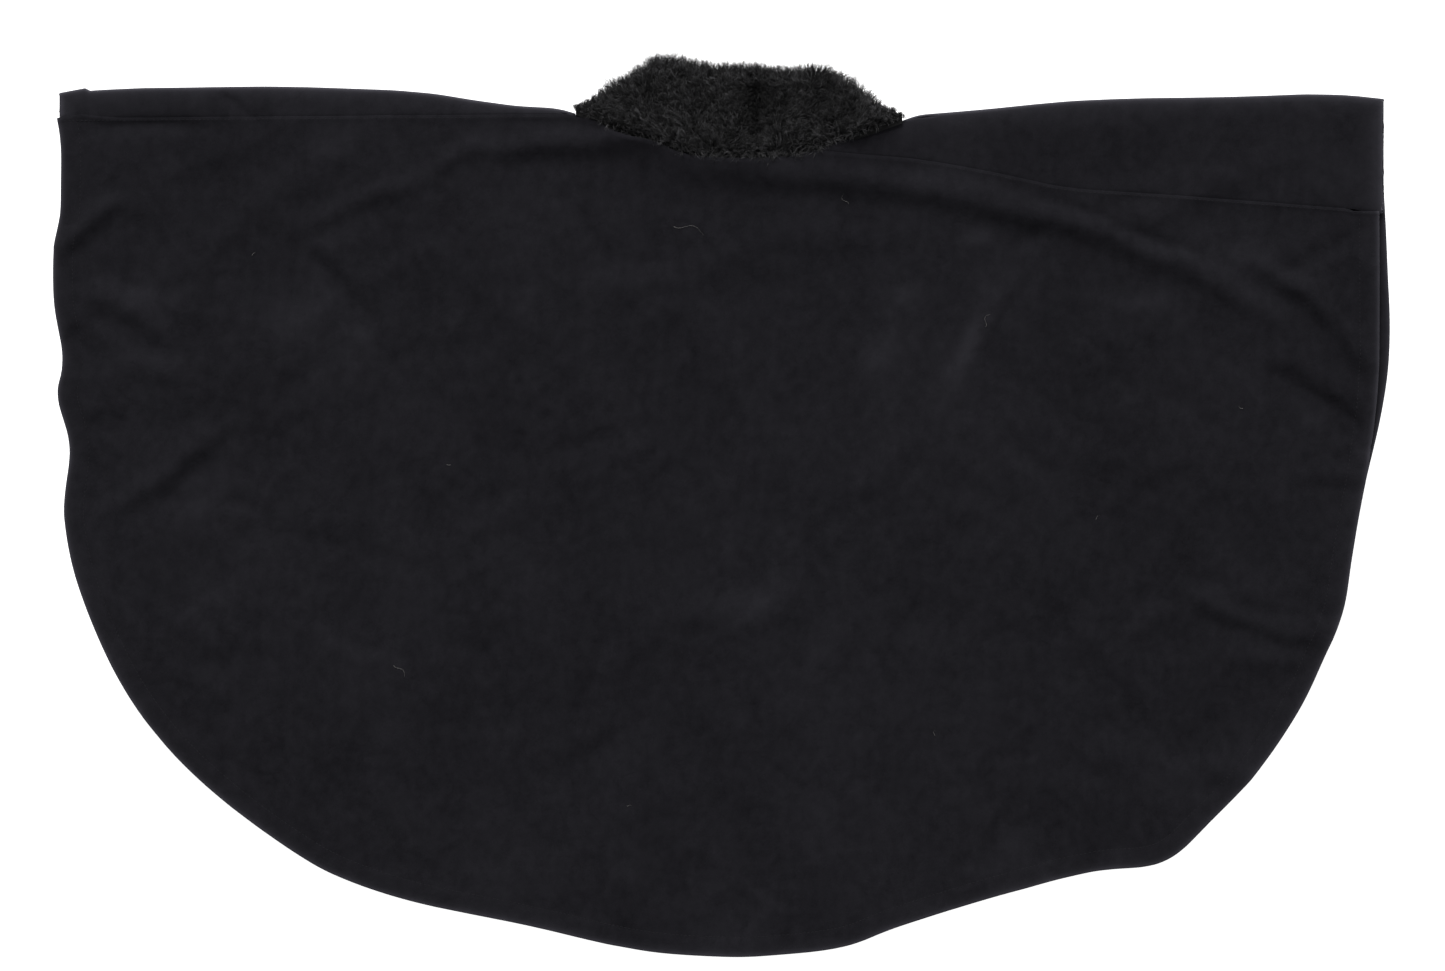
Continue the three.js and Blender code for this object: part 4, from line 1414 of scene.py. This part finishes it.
@dataclass
class Collar:
    """Fur collar flattened with its back half uppermost; the fall turns over on the stand."""

    shape: CollarShape = field(default_factory=CollarShape)
    split: float = 1.2
    centre: float = 18.0

    def bend(self, piece: Piece, reach: float) -> None:
        """Bakes a piece's placement into its points."""
        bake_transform(piece)

    def build(self) -> None:
        """Makes the back half, the two front halves, their linings and their fur."""
        knit = Cloth("fur_backing", (0.0022, 0.0022, 0.0024), (0.0040, 0.0040, 0.0044),
                     0.95, 218.75).material()
        lining = Cloth("lining", (0.0050, 0.0050, 0.0058), (0.0110, 0.0110, 0.0125),
                       0.55, 343.75).material()
        fur = Fur().material()
        halves = (Half("back", None, None, 16.4, 14.3, 3.3, 1, None, 30000, 2800, 11.0, 8.0),
                  Half("left", None, self.centre - self.split, *FRONT_HALF),
                  Half("right", self.centre + self.split, None, *FRONT_HALF))
        for number, half in enumerate(halves):
            back, seed = half.name == "back", 41 + 9 * number
            ends = (half.low, half.high, half.end_drop)
            skin = CollarLayer(self.shape, f"collar_{half.name}_skin", half.level, 7.5,
                               6.0 if back else 0.0, 1.0, *ends,
                               *((3.6, 3.0) if back else (0.5, -1.0)), seed)
            inner = CollarLayer(self.shape, f"collar_{half.name}_lining", half.lining_level, 9.0,
                                1.5 if back else -1.0, 0.5, *ends,
                                *((2.4, 2.0) if back else (0.0, -0.8)), seed, 100, 30)
            body, cover = skin.build(knit, "fur"), inner.build(lining, "lining")
            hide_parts(f"stand_{half.name}_fur", f"fall_{half.name}_fur")
            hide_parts(f"stand_{half.name}_lining", f"fall_{half.name}_lining")
            furs = Pile(skin, f"collar_{half.name}_fur", half.hairs, half.up, half.length,
                        half.floor, half.fringe, 51 + 20 * number).build(fur)
            below = [cover.name] if back else ["floor"]
            below_cover = ["collar_left_lining", "collar_right_lining"] if back else [body.name]
            for sheet, rests, carried in ((body, below, furs), (cover, below_cover, ())):
                self.flat(half)
                self.area(half)
            for piece in (body, cover, *furs):
                self.bend(piece, half.reach)
            log.info("collar %s half: %d hairs in %d pieces", half.name, half.hairs + half.fringe,
                     len(furs))

    def flat(self, half: Half) -> tuple[float, float]:
        """Width and length of the rectangle a layer is cut from, in metres."""
        left, right = self.shape.span(half.low, half.high)
        tall = self.shape.rim[:, 1].max() - self.shape.base[:, 1].min()
        return (right - left) * MM, tall * MM

    def area(self, half: Half) -> float:
        """Area between the neck edge and the free edge, in square metres."""
        left, right = self.shape.span(half.low, half.high)
        tall = self.shape.tall(np.linspace(left, right, 400))
        return float(np.mean(tall) * (right - left)) * MM * MM


# ---- Sewing --------------------------------------------------------------------------------------


def stitches(name: str, middles: Array, along: Array, length: float,
             radius: float) -> Piece:
    """Short rounded stitches, each two rings of six points between two tips.

    Args:
        name: the piece's name.
        middles: middle of each stitch.
        along: unit direction of each, seen from above.
        length: length of a stitch.
        radius: half the thread's width.

    Returns:
        The stitches as one mesh.
    """
    turn = np.arange(6) * math.tau / 6
    lie = np.array([-0.5, -0.3, 0.3, 0.5]) * length
    ring = np.stack([np.zeros(6), np.cos(turn) * radius, np.sin(turn) * radius * 0.7], axis=1)
    shape = np.concatenate([[[lie[0], 0, -0.35]], ring + [lie[1], 0, 0], ring + [lie[2], 0, 0],
                            [[lie[3], 0, -0.35]]])
    side = np.column_stack([-along[:, 1], along[:, 0]])
    flat = shape[None, :, 0, None] * along[:, None] + shape[None, :, 1, None] * side[:, None]
    points = with_height(flat, np.broadcast_to(shape[:, 2], flat.shape[:2])) + middles[:, None]
    k, n = np.arange(6), (np.arange(6) + 1) % 6
    faces = np.concatenate([
        np.stack([np.zeros(6, int), 1 + n, 1 + k], axis=1),
        np.stack([1 + k, 1 + n, 7 + n], axis=1), np.stack([1 + k, 7 + n, 7 + k], axis=1),
        np.stack([np.full(6, 13), 7 + k, 7 + n], axis=1)])
    every = (np.arange(len(middles))[:, None, None] * 14 + faces[None]).reshape(-1, 3)
    return build_mesh(name, points.reshape(-1, 3), every)


@dataclass
class Sewing:
    """Stitch rows, seam tapes, neck binding, hanger tape and the two blank labels."""

    cut: CutLines
    drape: Drape
    back: BackPanel
    pitch: float = 4.2
    stitch: float = 3.0
    thread: float = 0.24
    share_lifted: float = 0.8

    def build(self) -> list[Piece]:
        """Makes every row and band and has it ride on the cape."""
        thread = Thread().material()
        tape = Cloth("tape", (0.0060, 0.0058, 0.0070), (0.0130, 0.0125, 0.0150),
                     0.85, 250.0).material()
        ribbon = Cloth("ribbon", (0.0330, 0.0325, 0.0350), (0.0460, 0.0450, 0.0480),
                       0.35, 468.75).material()
        made = self.rows(thread) + self.bands(tape, ribbon)
        for piece in made:
            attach(piece, "cape")
        return made

    def rows(self, finish: bpy.types.Material) -> list[Piece]:
        """The hem's row of stitches and the topstitching below each shoulder seam."""
        where = np.arange(6.0, lengths(soften(self.cut.hem))[-1] - 6.0, self.pitch)
        spots, along = self.back.hem_line(STITCH_LINE, where)
        hem = stitches("hem_stitches", spots + [0, 0, 0.14], along, self.stitch, self.thread)
        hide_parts("back_hem_stitching")
        made = [hem]
        spans = {"left": (self.cut.hem[0, 0] + 8, -175.0),
                 "right": (200.0, self.cut.hem[-1, 0] - 4)}
        for name, (low, high) in spans.items():
            spots, along = self.back.seam_line(np.arange(low, high, self.pitch), 2.6)
            row = stitches(f"{name}_shoulder_stitches", spots + [0, 0, 0.10], along, self.stitch,
                           self.thread)
            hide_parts(f"{name}_shoulder_stitching")
            made.append(row)
        return [dress(piece, finish) for piece in made]

    def bands(self, tape: bpy.types.Material, ribbon: bpy.types.Material) -> list[Piece]:
        """Tapes and binding under the back panel's top edge, the hanger tape and the labels."""
        made = []
        for node in ("left_shoulder_seam_tape", "right_shoulder_seam_tape", "neck_binding"):
            points = node_triangles(node)[0]
            below = self.cut.top_height(points[:, 0]) - points[:, 1]
            x = np.linspace(points[:, 0].min() + 1, points[:, 0].max() - 1, 90)
            reach = (below.min() + below.max()) / 2
            width = min(below.max() - below.min(), 12.0) - 0.6
            line = soften(np.column_stack([x, self.cut.top_height(x) - reach]), 4.0, 6.0)
            middle = (points[:, 2].min() + points[:, 2].max()) / 2
            made.append(dress(self.band(node, line, middle, width, 1.2), tape))
        for node, slot, finish in (("hanger_tape", "tape", tape), ("neck_label", "label", ribbon),
                                   ("care_label", "label", ribbon)):
            low, high = (np.array(c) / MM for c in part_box(node))
            x = np.linspace(low[0] + 0.3, high[0] - 0.3, 40)
            line = np.column_stack([x, np.full(len(x), (low[1] + high[1]) / 2)])
            band = self.band(node, line, (low[2] + high[2]) / 2, high[1] - low[1], high[2] - low[2])
            made.append(dress(band, finish))
        return made

    def band(self, node: str, line: Array, middle: float, width: float, thickness: float) -> Piece:
        """A band in place of a CAD node, lifted along with the cloth above it."""
        height = middle + self.share_lifted * self.drape.lift(line[:, 0], line[:, 1])
        band = sweep(f"sewn_{node}", line, height, width, thickness)
        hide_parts(node)
        return band


@dataclass
class Lint:
    """A few loose fibres on the fleece."""

    drape: Drape
    # x, y, length, how much it curves and the direction it sets out in
    curls: tuple = ((-50, 281, 36, 0.9, -0.9), (126, 300, 15, 1.3, 1.2), (262, 178, 17, 1.2, 0.4),
                    (-328, -158, 19, 1.0, -1.5), (373, -14, 5, 0.6, 0.5), (-271, 40, 5, 0.9, 2.2),
                    (212, -230, 6, 1.0, 0.9), (-95, -300, 5, 0.8, -0.4), (520, 96, 6, 1.1, 1.7),
                    (-470, 250, 5, 0.7, 0.1))
    radius: float = 0.22
    clear: float = 0.5

    def build(self, finish: bpy.types.Material) -> Piece:
        """Makes each fibre as a hair along the cloth, on an arc that sways as it turns."""
        facts = np.array(self.curls)
        s = np.linspace(0, 1, 14)
        heading = facts[:, 4:5] + facts[:, 3:4] * np.sin(s * 5.0)[None] + facts[:, 3:4] * s[None]
        step = facts[:, 2:3] / (len(s) - 1)
        x = facts[:, 0:1] + np.cumsum(np.cos(heading) * step, axis=1)
        y = facts[:, 1:2] + np.cumsum(np.sin(heading) * step, axis=1)
        z = BACK_LEVEL + CLOTH / 2 + self.drape.lift(x, y) + self.clear
        piece = strands("lint_fibres", np.stack([x, y, z], axis=-1),
                        np.full(len(facts), self.radius), np.ones(len(facts)))
        return dress(piece, finish)


# ---- Studio --------------------------------------------------------------------------------------


@dataclass
class Studio:
    """A plain pale floor, soft light mostly from the collar's side and a camera straight above."""

    frame_width: float = 1445.0
    centre: tuple = (0.5, 20.0)
    lens: float = 85.0
    sensor: float = 36.0
    key: float = 3.65
    key_spread: float = 34.0
    key_from: tuple = (-0.15, 0.82, 0.50)
    surround: float = 0.42
    glow: float = 0.85

    def build(self) -> None:
        """Makes the floor, the lights, the world and the camera."""
        self.floor()
        self.lights()
        self.camera()

    def floor(self) -> None:
        """A wide pale light table with a faint grain."""
        side = np.linspace(-40000, 40000, 5)
        x, y = np.meshgrid(side, side)
        points = np.stack([x, y, np.full_like(x, -0.4)], axis=-1).reshape(-1, 3)
        board = build_mesh("studio_floor", points, grid_faces(5, 5))
        n = Nodes("pale_board")
        grain = n.noise(60.0)
        board.data.materials.append(n.shade(
            Base_Color=n.between(grain, (0.90, 0.90, 0.90), (0.92, 0.92, 0.92)), Roughness=0.9,
            Specular_IOR_Level=0.1, Emission_Color=(1, 1, 1, 1), Emission_Strength=self.glow))

    def lights(self) -> None:
        """One broad soft light low beyond the collar and an even pale surround."""
        lamp = bpy.data.lights.new("key_light", "SUN")
        lamp.energy, lamp.angle = self.key, math.radians(self.key_spread)
        holder = bpy.data.objects.new("key_light", lamp)
        bpy.context.scene.collection.objects.link(holder)
        holder.rotation_mode = "QUATERNION"
        holder.rotation_quaternion = (-Vector(self.key_from)).to_track_quat("-Z", "Y")
        world = bpy.data.worlds.new("surround")
        world.use_nodes = True
        world.node_tree.nodes["Background"].inputs["Color"].default_value = (1, 1, 1, 1)
        world.node_tree.nodes["Background"].inputs["Strength"].default_value = self.surround
        bpy.context.scene.world = world

    def camera(self) -> None:
        """A long lens straight above, with the collar at the top of the picture."""
        lens = bpy.data.cameras.new("camera")
        lens.lens, lens.sensor_width = self.lens, self.sensor
        lens.clip_start, lens.clip_end = 0.05, 50.0
        holder = bpy.data.objects.new("camera", lens)
        bpy.context.scene.collection.objects.link(holder)
        height = self.frame_width * self.lens / self.sensor + BACK_LEVEL
        holder.location = (self.centre[0] * MM, self.centre[1] * MM, height * MM)
        bpy.context.scene.camera = holder
        bpy.context.scene.view_settings.view_transform = "Standard"


# ---- Assembly ------------------------------------------------------------------------------------


def declare_panel(outline: Array) -> None:
    """Works out the length round a fleece panel's outline; the result is not kept.

    Args:
        outline: its finished outline in the frame.
    """
    edge = lengths(outline)[-1] * MM


def main() -> None:
    """Builds the cape in order and reports each piece."""
    logging.basicConfig(level=logging.INFO, format="%(name)s: %(message)s")
    Studio().build()
    fleece = Fleece().material()
    cut = CutLines()
    drape = Drape(cut)
    back_panel = BackPanel(cut, drape)
    back = dress(back_panel.build(), fleece)
    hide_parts("back_panel", "back_hem")
    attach(back, "cape")
    log.info("back panel: %d faces", len(back.data.polygons))
    sewn = Sewing(cut, drape, back_panel).build()
    lint = Lint(drape).build(Thread("lint", (0.17, 0.165, 0.16), (0.26, 0.25, 0.24)).material())
    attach(lint, "cape")
    for side in Side:
        panel = FrontPanel(side, cut, drape)
        front = dress(panel.build(), fleece)
        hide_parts(panel.node, f"{side.value}_front_hem", f"{side.value}_front_facing")
        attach(front, "cape")
        outline = level_loop(panel.node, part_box(panel.node)[0].z / MM)
        declare_panel(outline)
        log.info("%s front: %d faces", side.value, len(front.data.polygons))
    declare_panel(level_loop("back_panel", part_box("back_panel")[0].z / MM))
    Collar().build()
    plated = PlatedWire().material()
    for node in ("fur_hook", "fur_eye"):
        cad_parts[node].data.materials.clear()
        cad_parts[node].data.materials.append(plated)


if __name__ == "__main__":
    main()
